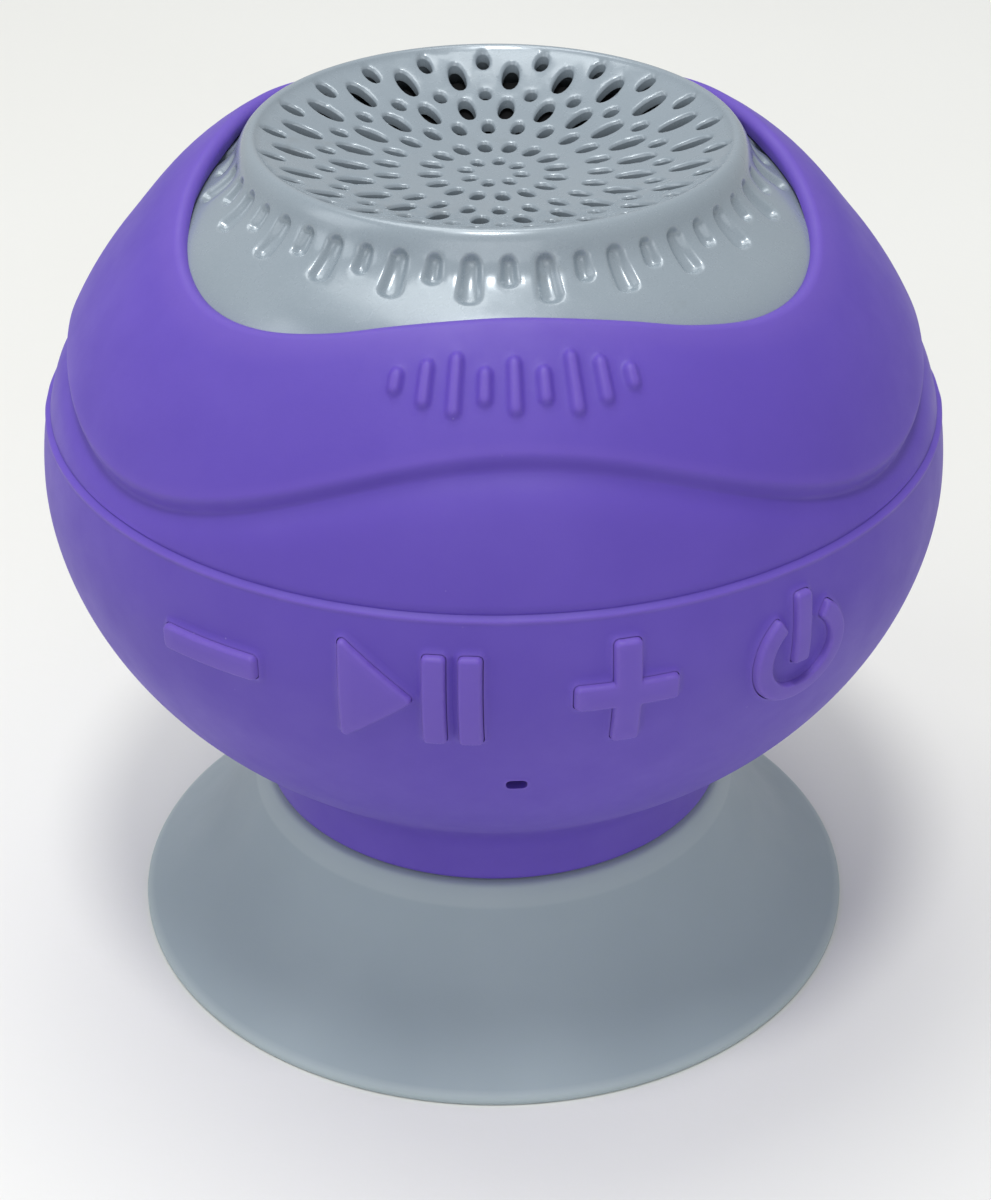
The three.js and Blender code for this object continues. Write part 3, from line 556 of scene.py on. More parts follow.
def lip_rows():
    """A quarter turn over the opening's edge, then down onto the grille's flare."""
    edge_r, edge_z = band_point(THETA, 1.0)
    below_r, below_z = band_point(THETA, 0.985)
    length = np.hypot(edge_r - below_r, edge_z - below_z)
    along_r, along_z = (edge_r - below_r) / length, (edge_z - below_z) / length
    normal_r, normal_z = np.abs(along_z), -along_r
    centre_r, centre_z = edge_r - normal_r * LIP_R, edge_z - normal_z * LIP_R
    for angle in [18, 36, 54, 72, 90, 104]:
        c, s = math.cos(math.radians(angle)), math.sin(math.radians(angle))
        lip_r = centre_r + LIP_R * (normal_r * c + along_r * s)
        lip_z = centre_z + LIP_R * (normal_z * c + along_z * s)
        # the lip's turn is painted paler, most on its upper part: painted highlight
        row(lip_r, lip_z, 0.55 if angle < 80 else 0.2)
    for outwards, fall, over_flare in [(0.12, 0.05, 0.16), (1.2, 0.4, 0.2)]:
        r = lip_r + outwards
        row(r, np.minimum(lip_z - fall, np.interp(r, FLARE[:, 0], FLARE[:, 1]) + over_flare))


INNER_Z = [56.25, 52, 48, 44, 40, 36.5, 33, 30, 27.6]


def inner_upper_rows():
    for v in [0.8, 0.5, 0.2]:
        z = crease + 2 + (opening - crease - 2) * v
        thickness = SKIN_T - 0.85 * np.clip((z - 72) / 4, 0, 1)
        row(*off_bowl(z, -thickness))
    for z in (crease + 1.5, 59.8, 57.6):
        row(*off_bowl(z, -SKIN_T))


neck_rows()
bowl_z = bowl_heights()
first_bowl = len(grid_rows)
for z in bowl_z:
    row(bowl_r(z), z)
last_bowl = len(grid_rows) - 1
parting_rows()
fold_rows()
band_first = len(grid_rows)
for i in range(1, BAND_ROWS + 1):
    # rows near the lip are painted paler: painted highlight on the rolled edge
    row(*band_point(THETA, i / BAND_ROWS), 0.45 * smooth(0.8, 1.0, i / BAND_ROWS))
band_last = len(grid_rows) - 1
lip_rows()
inner_upper_rows()
inner_first = len(grid_rows)
for z in INNER_Z:
    row(inner_r(z), z)
row(23.7, 24.9)
row(21.0, 22.4)

# ------------------------------------------------------------------ skin: windows in the grid


def column_at(deg):
    return int(round(math.radians(deg) / (2 * math.pi / COLUMNS))) + COLUMNS // 2


# windows of cells left out of the grid and filled by fine patches
outer_rows = range(first_bowl + int(np.argmin(np.abs(bowl_z - 36.6))), last_bowl)
inner_rows = range(inner_first, inner_first + INNER_Z.index(36.5))
relief_rows = range(band_first + 1, band_last - 2)
key_columns = range(column_at(-48), column_at(46))
relief_columns = range(column_at(-22.5), column_at(22.5))
PORT_COLUMNS = round(12 * COLUMNS / 360)  # each side of the back, where the columns wrap
port_columns = range(COLUMNS - PORT_COLUMNS, COLUMNS + PORT_COLUMNS)
WINDOWS = [(outer_rows, key_columns), (inner_rows, key_columns), (relief_rows, relief_columns),
           (outer_rows, port_columns), (inner_rows, port_columns)]


def in_window(i, j):
    return any(i in rows and (j in columns or j + COLUMNS in columns)
               for rows, columns in WINDOWS)


for i, a in enumerate(grid_rows):
    b = grid_rows[(i + 1) % len(grid_rows)]
    for j in range(COLUMNS):
        if not in_window(i, j):
            k = (j + 1) % COLUMNS
            skin.faces.append((a[j], a[k], b[k], b[j]))

row_z = {first_bowl + i: z for i, z in enumerate(bowl_z)}
row_z.update({inner_first + i: z for i, z in enumerate(INNER_Z)})


def stitch(rim, points, triangles, source, new, keep, outer=True):
    """Adds a patch's kept triangles, using the grid's own points on the rim.
    Returns the skin index of each patch point."""
    rim_ids = [grid_rows[i][j % COLUMNS] for i, j in rim]
    ids = [rim_ids[s] if 0 <= s < len(rim) else n for s, n in zip(source, new)]
    for face, kept in zip(triangles, keep):
        if kept:
            skin.faces.append([ids[i] for i in oriented(points, face, outer)])
    return ids


FLAT_R = 42.5  # radius that lays theta out flat, in mm


def bowl_patch(window, centre, loops, guides, fill, radius, shape, edge_rub):
    """Fills a window of the bowl, leaving the loops open; loops and guides are (theta, z).
    shape(theta, z, radius) gives the outer face's lift and the distance to an opening.
    Returns the skin indices of each loop."""

    def flat(q):
        return np.column_stack([(q[:, 0] - centre) * FLAT_R, q[:, 1]])

    outer = radius is bowl_r
    rim = window_rim(*window)
    border = flat(np.column_stack([column_theta(np.array([j for _, j in rim])),
                                   [row_z[i] for i, _ in rim]]))
    outlines = [border] + [flat(loop) for loop in loops]
    fixed = np.vstack(outlines)
    near = thin(flat(guides), fixed, 0.05)
    grid = staggered(border, fill, bottom=fill, top=fill * 0.5, right=0.3 * fill)
    grid = thin(grid, np.vstack([fixed, near]), fill * 0.62)
    points, triangles, source, numbered = triangulate(outlines, np.vstack([near, grid]))
    theta, z = points[:, 0] / FLAT_R + centre, points[:, 1]
    height, distance = shape(theta, z, radius)
    new_r, new_z = off_bowl(z, height if outer else 0.0, radius)
    # paler at each opening's edge: painted highlight
    new = skin.add(polar(new_r, new_z, theta), edge_rub * (1 - smooth(0.0, 0.25, distance)))
    middle = centroids(points, triangles)
    gap = shape(middle[:, 0] / FLAT_R + centre, middle[:, 1], radius)[1]
    ids = stitch(rim, points, triangles, source, new, gap >= 0, outer)
    return [[ids[i] for i in loop] for loop in numbered[1:]]


def cut_openings(columns, centre, loops, guides, fill, shape, edge_rub):
    """Opens loops through both faces of the skin and walls them.
    Loops and guides are (azimuth in degrees, local outline)."""
    guide = np.vstack([to_theta(c, q) for c, q in guides])
    guide = guide[shape(guide[:, 0], guide[:, 1], bowl_r)[1] > 0.05]
    outer = bowl_patch((outer_rows, columns), centre, [to_theta(c, q) for c, q in loops],
                       guide, fill, bowl_r, shape, edge_rub)
    inner = bowl_patch((inner_rows, columns), centre,
                       [to_theta(c, q, inner_r) for c, q in loops],
                       np.zeros((0, 2)), 3.0, inner_r, shape, 0.0)
    for outer_loop, inner_loop in zip(outer, inner):
        skin.join(inner_loop, outer_loop)


def key_shape(theta, z, radius):
    """The skin swells a little round every key and round the small hole under them."""
    keys = np.minimum.reduce([outline(local_x(theta, z, centre, radius), z)
                              for centre, outline, _ in KEYS.values()]) - HOLE_GAP
    mic = mic_sdf(local_x(theta, z, 0.0, radius), z)
    height = 0.26 * (1 - smooth(-0.05, 0.5, keys)) + 0.1 * (1 - smooth(0.0, 0.35, mic))
    return height, np.minimum(keys, mic)


def port_shape(theta, z, radius):
    """The skin dips at the port's edge."""
    distance = port_sdf(local_x(theta, z, 180.0, radius), z)
    return -0.16 * (1 - smooth(0.0, 0.3, distance)), distance


key_loops, key_guides = [], []
for centre, outline, _ in KEYS.values():
    key_loops += [(centre, q) for q in rings(outline, KEY_BOX, 0.09, [(HOLE_GAP, 0.24)])]
    key_guides += [(centre, q) for q in rings(
        outline, KEY_BOX, 0.12, [(0.14, 0.26), (0.27, 0.34), (0.46, 0.45), (0.75, 0.6)])]
key_loops += [(0.0, q) for q in rings(mic_sdf, box_round(2, MIC_Z, 1.5), 0.05, [(0.0, 0.2)])]
key_guides += [(0.0, q) for q in rings(
    mic_sdf, box_round(2.6, MIC_Z, 2), 0.07, [(0.12, 0.25), (0.28, 0.25), (0.5, 0.25)])]
# the skin at the edges of the keys and the small hole gets a painted highlight
cut_openings(key_columns, 0.0, key_loops, key_guides, fill=0.62, shape=key_shape, edge_rub=0.5)

port_loops = [(180.0, q) for q in rings(
    port_sdf, box_round(8, PORT_Z, 5), 0.09, [(0.0, 0.35)])]
port_guides = [(180.0, q) for q in rings(
    port_sdf, box_round(9, PORT_Z, 6), 0.12, [(0.15, 0.45), (0.32, 0.45), (0.6, 0.45)])]
cut_openings(port_columns, math.pi, port_loops, port_guides,
             fill=0.8, shape=port_shape, edge_rub=0.0)

# ------------------------------------------------------------------ skin: raised level bars

BARS = [1.6, 2.9, 3.9, 2.3, 3.5, 2.3, 3.9, 2.9, 1.6]  # heights, left to right
BAR_PITCH, BAR_R, BAR_Z = 2.6, 0.56, 73.75
BAR_RAISE = 0.5
SLOPE_STRETCH = 1.25  # length up the band's slope for each mm of height
BAND_R = 35.0  # radius that lays the band's theta out flat
BAND_H = 7.2  # flat height of the band
# contour levels of the bars and point spacing
BAR_LEVELS = [(-0.34, 0.3), (-0.2, 0.24), (-0.06, 0.22), (0.08, 0.24), (0.22, 0.28), (0.4, 0.4)]


def bars_sdf(x, y):
    bars = []
    for i, height in enumerate(BARS):
        bar_x = (i - (len(BARS) - 1) / 2) * BAR_PITCH
        past = np.abs(y) - np.maximum(0, height / 2 * SLOPE_STRETCH - BAR_R)
        bars.append(np.hypot(x - bar_x, np.maximum(past, 0)) - BAR_R)
    return np.minimum.reduce(bars)


def bar_guides(v_low, v_high):
    """Contours of the bars in the band's flat coordinates, within a range of v."""
    steps = np.linspace(0, 1, 60)
    guides = []
    for loop in rings(bars_sdf, (-13, 13, -3.5, 3.5), 0.1, BAR_LEVELS):
        for theta, y in zip(loop[:, 0] / BAND_R, loop[:, 1]):
            heights = band_point(np.full(60, theta), steps)[1]
            v = np.interp(y / SLOPE_STRETCH + BAR_Z, heights, steps)
            if v_low < v < v_high:
                guides.append((theta * BAND_R, v * BAND_H))
    return np.array(guides)


def relief_patch(fill=0.42):
    rim = window_rim(relief_rows, relief_columns)
    rim_theta = column_theta(np.array([j for _, j in rim]))
    rim_v = np.array([(i - band_first + 1) / BAND_ROWS for i, _ in rim])
    border = np.column_stack([rim_theta * BAND_R, rim_v * BAND_H])
    guides = thin(bar_guides(rim_v.min() + 0.03, rim_v.max() - 0.03), border, 0.15)
    grid = staggered(border, fill, bottom=fill * 0.8, top=fill * 0.4, right=0.2)
    grid = thin(grid, np.vstack([border, guides]), fill * 0.6)
    points, triangles, source, _ = triangulate([border], np.vstack([guides, grid]))
    theta, v = points[:, 0] / BAND_R, points[:, 1] / BAND_H
    z = band_point(theta, v)[1]
    distance = bars_sdf(BAND_R * theta, (z - BAR_Z) * SLOPE_STRETCH)
    r, z = band_point(theta, v, BAR_RAISE * (1 - smooth(-0.36, 0.34, distance)))
    # bars paler for wear; paler towards the lip as a painted highlight
    rub = 0.55 * (1 - smooth(-0.45, 0.12, distance)) + 0.35 * smooth(0.72, 1.0, v)
    new = skin.add(polar(r, z, theta), rub)
    stitch(rim, points, triangles, source, new, [True] * len(triangles))


relief_patch()
register(make_mesh("skin_sleeve", skin, 46.0), "silicone_skin", "silicone_purple", "speaker")

# ------------------------------------------------------------------ keys and port cover


def pillow(sdf, box, top, depth, edge, centre_deg, spacing, lean=False):
    """Closed pieces with the outline sdf = 0 and an upper edge rounded by `edge`, from `top`
    over the bowl down to `depth` below it; with lean, depth is square to the bowl."""
    shell = Shell()
    guides = rings(sdf, box, 0.08, [(-part * edge, spacing * 1.15) for part in (0.28, 0.6, 1.0)])
    for outline in rings(sdf, box, 0.07, [(0.0, spacing)]):
        low, high = outline.min(0), outline.max(0)
        near = [q for q in guides if np.all((low <= q.mean(0)) & (q.mean(0) <= high))]
        near = thin(np.vstack(near), outline, 0.05)
        grid = grid_points(np.arange(low[0], high[0], 0.7), np.arange(low[1], high[1], 0.7))
        grid = grid[sdf(grid[:, 0], grid[:, 1]) < -edge * 1.2]
        grid = thin(grid, np.vstack([outline, near]), 0.4)
        points, triangles, _, (rim,) = triangulate([outline], np.vstack([near, grid]))
        middle = centroids(points, triangles)
        inside = sd_poly(middle[:, 0], middle[:, 1], outline) < 0
        x, z = points[:, 0], points[:, 1]
        distance = np.maximum(0, -sdf(x, z))
        distance[rim] = 0
        # tops paler all over for wear, paler still along the rounded edge as a painted highlight
        upper = shell.add(on_bowl(x, z, top - edge_drop(distance, edge), centre_deg),
                          0.45 + 0.55 * (1 - smooth(0.0, 1.6 * edge, distance)))
        under = radial_depth(z, depth) if lean else depth
        lower = shell.add(on_bowl(x, z, -under, centre_deg))
        for face, kept in zip(triangles, inside):
            if kept:
                face = oriented(points, face)
                shell.faces += [upper[face], lower[face[::-1]]]
        for a, b in zip(rim, rim[1:] + rim[:1]):
            shell.faces.append((upper[b], lower[b], lower[a], upper[a]))
    return shell


def slab(shell, centre_deg, plate, top, bottom):
    """A curved plate under the skin, between two depths."""
    x0, x1, z0, z1 = plate
    rows, columns = 9, 13
    z, x = np.meshgrid(np.linspace(z0, z1, rows), np.linspace(x0, x1, columns), indexing="ij")
    a, b = [shell.add(on_bowl(x, z, -radial_depth(z, depth), centre_deg)).reshape(rows, columns)
            for depth in (top, bottom)]
    for i in range(rows - 1):
        for j in range(columns - 1):
            shell.faces.append((a[i, j], a[i, j + 1], a[i + 1, j + 1], a[i + 1, j]))
            shell.faces.append((b[i, j], b[i + 1, j], b[i + 1, j + 1], b[i, j + 1]))
    rim = window_rim(range(rows - 1), range(columns - 1))
    shell.join([a[p] for p in rim], [b[p] for p in rim], across=True)


def rod(shell, centre_deg, z, radius, inner, outer, count=20):
    """A round rod along the key's azimuth."""
    angle = 2 * math.pi * np.arange(count) / count
    x, height = radius * np.cos(angle), z + radius * np.sin(angle)
    a, b = [shell.add(turned(x, y, height, centre_deg)) for y in (inner, outer)]
    shell.join(a, b)
    shell.faces += [a[::-1], b]


KEY_H = 0.9  # keys stand this far out of the bowl
KEY_DEPTH = 1.98
for name, (centre, outline, plate) in KEYS.items():
    key = pillow(outline, KEY_BOX, top=KEY_H, depth=KEY_DEPTH, edge=0.34, centre_deg=centre,
                 spacing=0.24, lean=True)
    slab(key, centre, plate, top=1.92, bottom=2.07)
    rod(key, centre, z=50.6, radius=1.6, inner=37.9, outer=float(bowl_r(49.0)) - 1.97)
    register(make_mesh("key_" + name, key, 50.0), "button_" + name, "silicone_purple",
             "key_" + name)

FLAP_GAP = 0.18


def flap_sdf(x, y):
    return sd_box(x, y, 0, PORT_Z, PORT_HALF_W - FLAP_GAP, PORT_HALF_H - FLAP_GAP, 1.45)


def finger_lip(shell, steps=24, sides=10):
    """A low rounded ridge along the flap's upper edge."""
    angle = 2 * math.pi * np.arange(sides) / sides
    z = PORT_Z + PORT_HALF_H - 1.15 + 0.42 * np.sin(angle)
    sections = []
    for i in range(steps + 1):
        x = -2.2 + 4.4 * i / steps
        raised = 0.55 * math.sqrt(max(0.0, 1 - (x / 2.35) ** 4))
        # the ridge is painted paler: wear and a painted highlight
        sections.append(shell.add(on_bowl(x, z, raised * np.cos(angle), 180.0), 0.6))
    for a, b in zip(sections, sections[1:]):
        shell.join(a, b, across=True)
    shell.faces += [sections[0], sections[-1][::-1]]


flap = pillow(flap_sdf, box_round(8, PORT_Z, 5), top=0.0, depth=1.5, edge=0.3,
              centre_deg=180.0, spacing=0.3)
finger_lip(flap)
register(make_mesh("port_flap_cover", flap, 50.0), "port_cover", "silicone_purple", "port_flap")

# ------------------------------------------------------------------ grille: dish with oval holes

GRILLE_COLUMNS = 480
GRILLE_THETA = (np.arange(GRILLE_COLUMNS) - GRILLE_COLUMNS // 2) * 2 * math.pi / GRILLE_COLUMNS
DISH_R = float(FLARE[0, 0])
DISH_T = 1.1
HOLE_EDGE = 0.32  # rounding of each hole's upper edge
# rings of holes: ring radius, count, first azimuth in degrees, width, length
HOLE_RINGS = [
    (19.85, 22, 0, 1.3, 2.2), (17.85, 22, 180 / 22, 1.62, 3.7), (15.2, 22, 0, 1.15, 1.7),
    (12.95, 22, 180 / 22, 1.5, 3.5), (9.65, 22, 0, 1.18, 2.3), (5.75, 16, 5, 1.25, 2.1),
    (2.55, 8, 31, 1.05, 1.4)]
HOLES = []  # x, y, azimuth, half width, half length
for ring_r, count, first, width, length in HOLE_RINGS:
    for i in range(count):
        angle = math.radians(first + 360 * i / count)
        HOLES.append((ring_r * math.sin(angle), -ring_r * math.cos(angle), angle,
                      width / 2, length / 2))


def oval(cx, cy, angle, half_width, half_length, grow):
    """A hole's outline with its length along the radius, grown outwards."""
    count = 18 if half_length > 1.2 else 14
    t = np.arange(count) * 2 * math.pi / count
    c, s = np.cos(t), np.sin(t)
    power = 0.92  # a little squarer than an ellipse
    normal_x, normal_y = c / half_width, s / half_length
    size = np.hypot(normal_x, normal_y)
    x = half_width * np.sign(c) * np.abs(c) ** power + grow * normal_x / size
    y = half_length * np.sign(s) * np.abs(s) ** power + grow * normal_y / size
    return np.column_stack([cx + x * math.cos(angle) + y * math.sin(angle),
                            cy + x * math.sin(angle) - y * math.cos(angle)])


def holes_sdf(x, y):
    best = np.full(np.shape(x), 9.0)
    for cx, cy, angle, half_width, half_length in HOLES:
        near = (np.abs(x - cx) < 3) & (np.abs(y - cy) < 3)
        px, py = x[near] - cx, y[near] - cy
        across = px * math.cos(angle) + py * math.sin(angle)
        along = px * math.sin(angle) - py * math.cos(angle)
        k0 = np.hypot(across / half_width, along / half_length)
        k1 = np.maximum(np.hypot(across / half_width ** 2, along / half_length ** 2), 1e-9)
        best[near] = np.minimum(best[near], k0 * (k0 - 1) / k1)
    return best


grille = Shell()
dish_rim = np.column_stack([DISH_R * np.sin(GRILLE_THETA), -DISH_R * np.cos(GRILLE_THETA)])
dish_loops = [dish_rim] + [oval(*hole, 0.0) for hole in HOLES]


def dish_fill():
    """Points close round the holes, and a plain grid between them."""
    near = np.vstack([oval(*hole, grow) for hole in HOLES for grow in (0.08, 0.19, 0.33)])
    near = near[np.hypot(near[:, 0], near[:, 1]) < DISH_R - 0.12]
    near = near[holes_sdf(near[:, 0], near[:, 1]) > 0.045]
    near = thin(near, np.vstack(dish_loops), 0.05)
    steps = np.arange(-21.4, 21.5, 0.75)
    grid = grid_points(steps, steps)
    grid = grid[np.hypot(grid[:, 0], grid[:, 1]) < DISH_R - 0.4]
    return near, grid[holes_sdf(grid[:, 0], grid[:, 1]) > 0.4]


def dish_face(fill, upper):
    """One face of the dish. Returns the indices of its rim and of each hole."""
    points, triangles, _, (rim, *holes) = triangulate(dish_loops, fill)
    x, y = points[:, 0], points[:, 1]
    z = 78.6 + 3.78 * (np.hypot(x, y) / 21.2) ** 2.6
    rub = 0.0
    if upper:
        distance = np.maximum(0, holes_sdf(x, y))
        distance[sum(holes, [])] = 0
        z -= edge_drop(distance, HOLE_EDGE)
        z[rim] = FLARE[0, 1]
        # paler round each hole's rounded edge: painted highlight
        rub = 1 - smooth(0.0, 0.3, distance)
    else:
        z -= DISH_T
    ids = grille.add(np.column_stack([points, z]), rub)
    middle = centroids(points, triangles)
    gap = np.full(len(middle), 9.0)
    for hole, outline in zip(HOLES, dish_loops[1:]):
        near = (np.abs(middle[:, 0] - hole[0]) < 2) & (np.abs(middle[:, 1] - hole[1]) < 2)
        gap[near] = np.minimum(gap[near], sd_poly(middle[near, 0], middle[near, 1], outline))
    for face, distance in zip(triangles, gap):
        if distance >= 0:
            grille.faces.append(ids[oriented(points, face, upper)])
    return ids[rim], [ids[hole] for hole in holes]


near_holes, between = dish_fill()
rim_top, holes_top = dish_face(np.vstack([near_holes, between]), upper=True)
rim_bottom, holes_bottom = dish_face(between[::3], upper=False)
for hole_top, hole_bottom in zip(holes_top, holes_bottom):
    grille.join(hole_top, hole_bottom)

# ------------------------------------------------------------------ grille: dimpled flare

FLARE_S = np.concatenate([[0], np.cumsum(np.hypot(*np.diff(FLARE, axis=0).T))])
FLARE_LEN = FLARE_S[-1]


def flare_curve(s):
    """Smooth curve through FLARE by arc length."""
    s = np.asarray(s, float)
    last = len(FLARE) - 1
    i = np.clip(np.searchsorted(FLARE_S, s, side="right") - 1, 0, last - 1)
    before, after = np.maximum(i - 1, 0), np.minimum(i + 2, last)
    span = FLARE_S[i + 1] - FLARE_S[i]
    u = ((s - FLARE_S[i]) / span)[..., None]
    slope0 = ((FLARE[i + 1] - FLARE[before]) / (FLARE_S[i + 1] - FLARE_S[before])[..., None]
              * span[..., None])
    slope1 = ((FLARE[after] - FLARE[i]) / (FLARE_S[after] - FLARE_S[i])[..., None]
              * span[..., None])
    start, start_slope, end, end_slope = hermite(u)
    return start * FLARE[i] + start_slope * slope0 + end * FLARE[i + 1] + end_slope * slope1


def flare_point(s, depth=0.0):
    """Radius and height at arc length s, sunk by depth."""
    point = flare_curve(s)
    ahead = flare_curve(np.minimum(np.asarray(s, float) + 0.02, FLARE_LEN - 1e-6))
    along = ahead - flare_curve(np.maximum(np.asarray(s, float) - 0.02, 0))
    length = np.hypot(along[..., 0], along[..., 1])
    return (point[..., 0] - depth * (-along[..., 1] / length),
            point[..., 1] - depth * (along[..., 0] / length))


def s_at(r):
    """Arc length of the outer flare at radius r."""
    return float(np.interp(r, FLARE[3:, 0], FLARE_S[3:]))


def flare_row(s, depth=0.0, rub=0.0):
    r, z = flare_point(s, depth)
    return grille.add(polar(r, z, GRILLE_THETA), rub)


def flare_rows(previous, stations, rub=0.0):
    """Joins on a row for each (arc length, depth) and returns the last."""
    for s, depth in stations:
        current = flare_row(s, depth, rub)
        grille.join(previous, current, across=True)
        previous = current
    return previous


DIMPLE_TOP = s_at(22.98)
PATCH_TOP, PATCH_BOTTOM = DIMPLE_TOP - 0.7, s_at(26.4) + 0.75  # the dimpled stretch
SECTORS = 24  # each holds a short and a long dimple
SECTOR_COLUMNS = GRILLE_COLUMNS // SECTORS
SECTOR_START = math.radians(-3.75)
SECTOR_END = math.radians(11.25)
FLARE_R = 25.6  # radius that lays the flare's theta out flat
DIMPLE_SCALE_R = 24.6  # radius at which a dimple's width is measured
DIMPLE_DEPTH = 0.62
# azimuth, arc length from, arc length to, half width
DIMPLE_SPANS = [(0.0, DIMPLE_TOP + 0.25, s_at(25.0), 0.86),
                (math.radians(7.5), DIMPLE_TOP + 0.2, s_at(26.4), 1.04)]
# azimuth, middle arc length, half width, half length
DIMPLES = [(theta, (s0 + s1) / 2, half_width, (s1 - s0) / 2)
           for theta, s0, s1, half_width in DIMPLE_SPANS]


def one_dimple(x, y, half_width, half_length):
    # a little narrower towards the top
    taper = 1 + 0.1 * np.clip(-y / half_length, -1, 1)
    return sd_box(x * taper, y, 0, 0, half_width, half_length, half_width * 0.92)


def dimple_sdf(x, s):
    return np.minimum.reduce([
        one_dimple((x / FLARE_R - theta) * DIMPLE_SCALE_R, s - middle, half_width, half_length)
        for theta, middle, half_width, half_length in DIMPLES])


def dimple_guides():
    levels = [(level, 0.26) for level in (0.16, 0.07, -0.04, -0.16, -0.3, -0.46, -0.64)]
    guides = []
    for theta, middle, half_width, half_length in DIMPLES:
        for q in rings(lambda x, y: one_dimple(x, y, half_width, half_length),
                       (-2, 2, -4, 4), 0.06, levels):
            guides.append(np.column_stack([q[:, 0] / DIMPLE_SCALE_R * FLARE_R + theta * FLARE_R,
                                           q[:, 1] + middle]))
    return np.vstack(guides)


def dimpled_sectors(top_row, bottom_row):
    """Fills the stretch between two rows with one sector's patch, repeated round the axis."""
    xs = np.linspace(SECTOR_START, SECTOR_END, SECTOR_COLUMNS + 1) * FLARE_R
    side = np.linspace(PATCH_TOP, PATCH_BOTTOM, 19)[1:-1]
    loop = np.array([(x, PATCH_TOP) for x in xs] + [(xs[-1], s) for s in side]
                    + [(x, PATCH_BOTTOM) for x in xs[::-1]] + [(xs[0], s) for s in side[::-1]])
    # the place of each loop point on the sector's border
    columns, steps = range(SECTOR_COLUMNS + 1), range(len(side))
    slots = ([("top", j) for j in columns] + [("end", j) for j in steps]
             + [("bottom", j) for j in columns[::-1]] + [("start", j) for j in steps[::-1]])
    guides = dimple_guides()
    grid = grid_points(np.arange(xs[0] + 0.3, xs[-1], 0.4),
                       np.arange(PATCH_TOP + 0.3, PATCH_BOTTOM, 0.42))
    grid = thin(grid, np.vstack([loop, guides]), 0.2)
    points, triangles, source, _ = triangulate([loop], np.vstack([guides, grid]))
    distance = dimple_sdf(points[:, 0], points[:, 1])
    r, z = flare_point(points[:, 1], DIMPLE_DEPTH * (1 - smooth(-0.7, 0.12, distance)))
    # paler along each dimple's outline: painted highlight
    rub = 1 - smooth(0.0, 0.2, np.abs(distance + 0.02))
    first = int(round((SECTOR_START - GRILLE_THETA[0]) / (2 * math.pi / GRILLE_COLUMNS)))
    side_ids = {}

    def shared(slot, sector, own):
        """Index of a border point, shared with the rows and the next sector."""
        kind, j = slot
        if kind in ("start", "end"):
            return side_ids.setdefault(((sector + (kind == "end")) % SECTORS, j), own)
        edge_row = top_row if kind == "top" else bottom_row
        return edge_row[(first + sector * SECTOR_COLUMNS + j) % GRILLE_COLUMNS]

    for sector in range(SECTORS):
        theta = points[:, 0] / FLARE_R + math.radians(sector * 15)
        new = grille.add(polar(r, z, theta), rub)
        ids = [shared(slots[s], sector, n) if 0 <= s < len(loop) else n
               for s, n in zip(source, new)]
        for face in triangles:
            grille.faces.append([ids[i] for i in oriented(points, face, ccw=False)])


# the crest rows are a little paler: painted highlight
crest = flare_rows(rim_top, [(s, 0.0) for s in np.linspace(0, PATCH_TOP, 11)[1:]], rub=0.15)
patch_end = flare_row(PATCH_BOTTOM)
dimpled_sectors(crest, patch_end)
foot = FLARE_LEN - 0.02
lowest = flare_rows(patch_end, [(s, 0.0) for s in np.linspace(PATCH_BOTTOM, foot, 6)[1:]])
underside = flare_rows(lowest, [(foot, 1.5), (12.0, 1.6), (9.0, 1.7), (6.0, 1.7), (4.0, 1.7),
                                (2.6, 1.9)])
grille.join(underside, rim_bottom, across=True)
register(make_mesh("dish_grille", grille, 55.0), "grille", "grille_grey", "speaker")

# ------------------------------------------------------------------ suction cup

CUP_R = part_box("suction_cup")[1].x / MM
# profile pieces: radius, height
CUP_UNDER = [(33.4, 0.02), (31.0, 2.2), (27.5, 4.9), (21.0, 8.2), (12.0, 10.4), (5.0, 11.1),
             (0.0, 11.2)]
CUP_RIM = [(33.6, 0.0), (34.6, 0.0), (CUP_R - 0.35, 0.0), (CUP_R - 0.12, 0.06), (CUP_R, 0.25),
           (CUP_R, 0.55), (CUP_R - 0.1, 0.74), (CUP_R - 0.32, 0.88)]
CUP_OUTER = [(35.2, 1.25), (33.0, 3.0), (30.6, 5.1), (28.2, 7.7), (26.2, 10.4), (24.8, 12.8),
             (24.0, 14.4), (23.5, 15.3), (23.05, 15.85), (22.4, 16.0)]
CUP_STEM = [(20.0, 16.0), (9.2, 16.0), (9.2, 19.2), (5.3, 19.2), (5.3, 15.5), (8.3, 15.5),
            (8.3, 13.0), (0.0, 13.0)]


def spline(knots, count=5):
    """Points on a Catmull-Rom curve, count to each span."""
    p = np.array(knots, float)
    last = len(p) - 1
    out = []
    for i in range(last):
        p0, p1, p2, p3 = p[max(i - 1, 0)], p[i], p[i + 1], p[min(i + 2, last)]
        for u in np.linspace(0, 1, count, endpoint=False):
            out.append(0.5 * ((2 * p1) + (-p0 + p2) * u + (2 * p0 - 5 * p1 + 4 * p2 - p3) * u * u
                              + (-p0 + 3 * p1 - 3 * p2 + p3) * u ** 3))
    return [tuple(point) for point in out + [p[-1]]]


def cup_rub(r, z):
    # painted glow at the rim's translucent edge; painted highlight on the collar at the neck
    if r > CUP_R - 0.4:
        return 1.0
    return 0.7 if 22.3 < r < 24.3 and 14 < z < 16.05 else 0.0


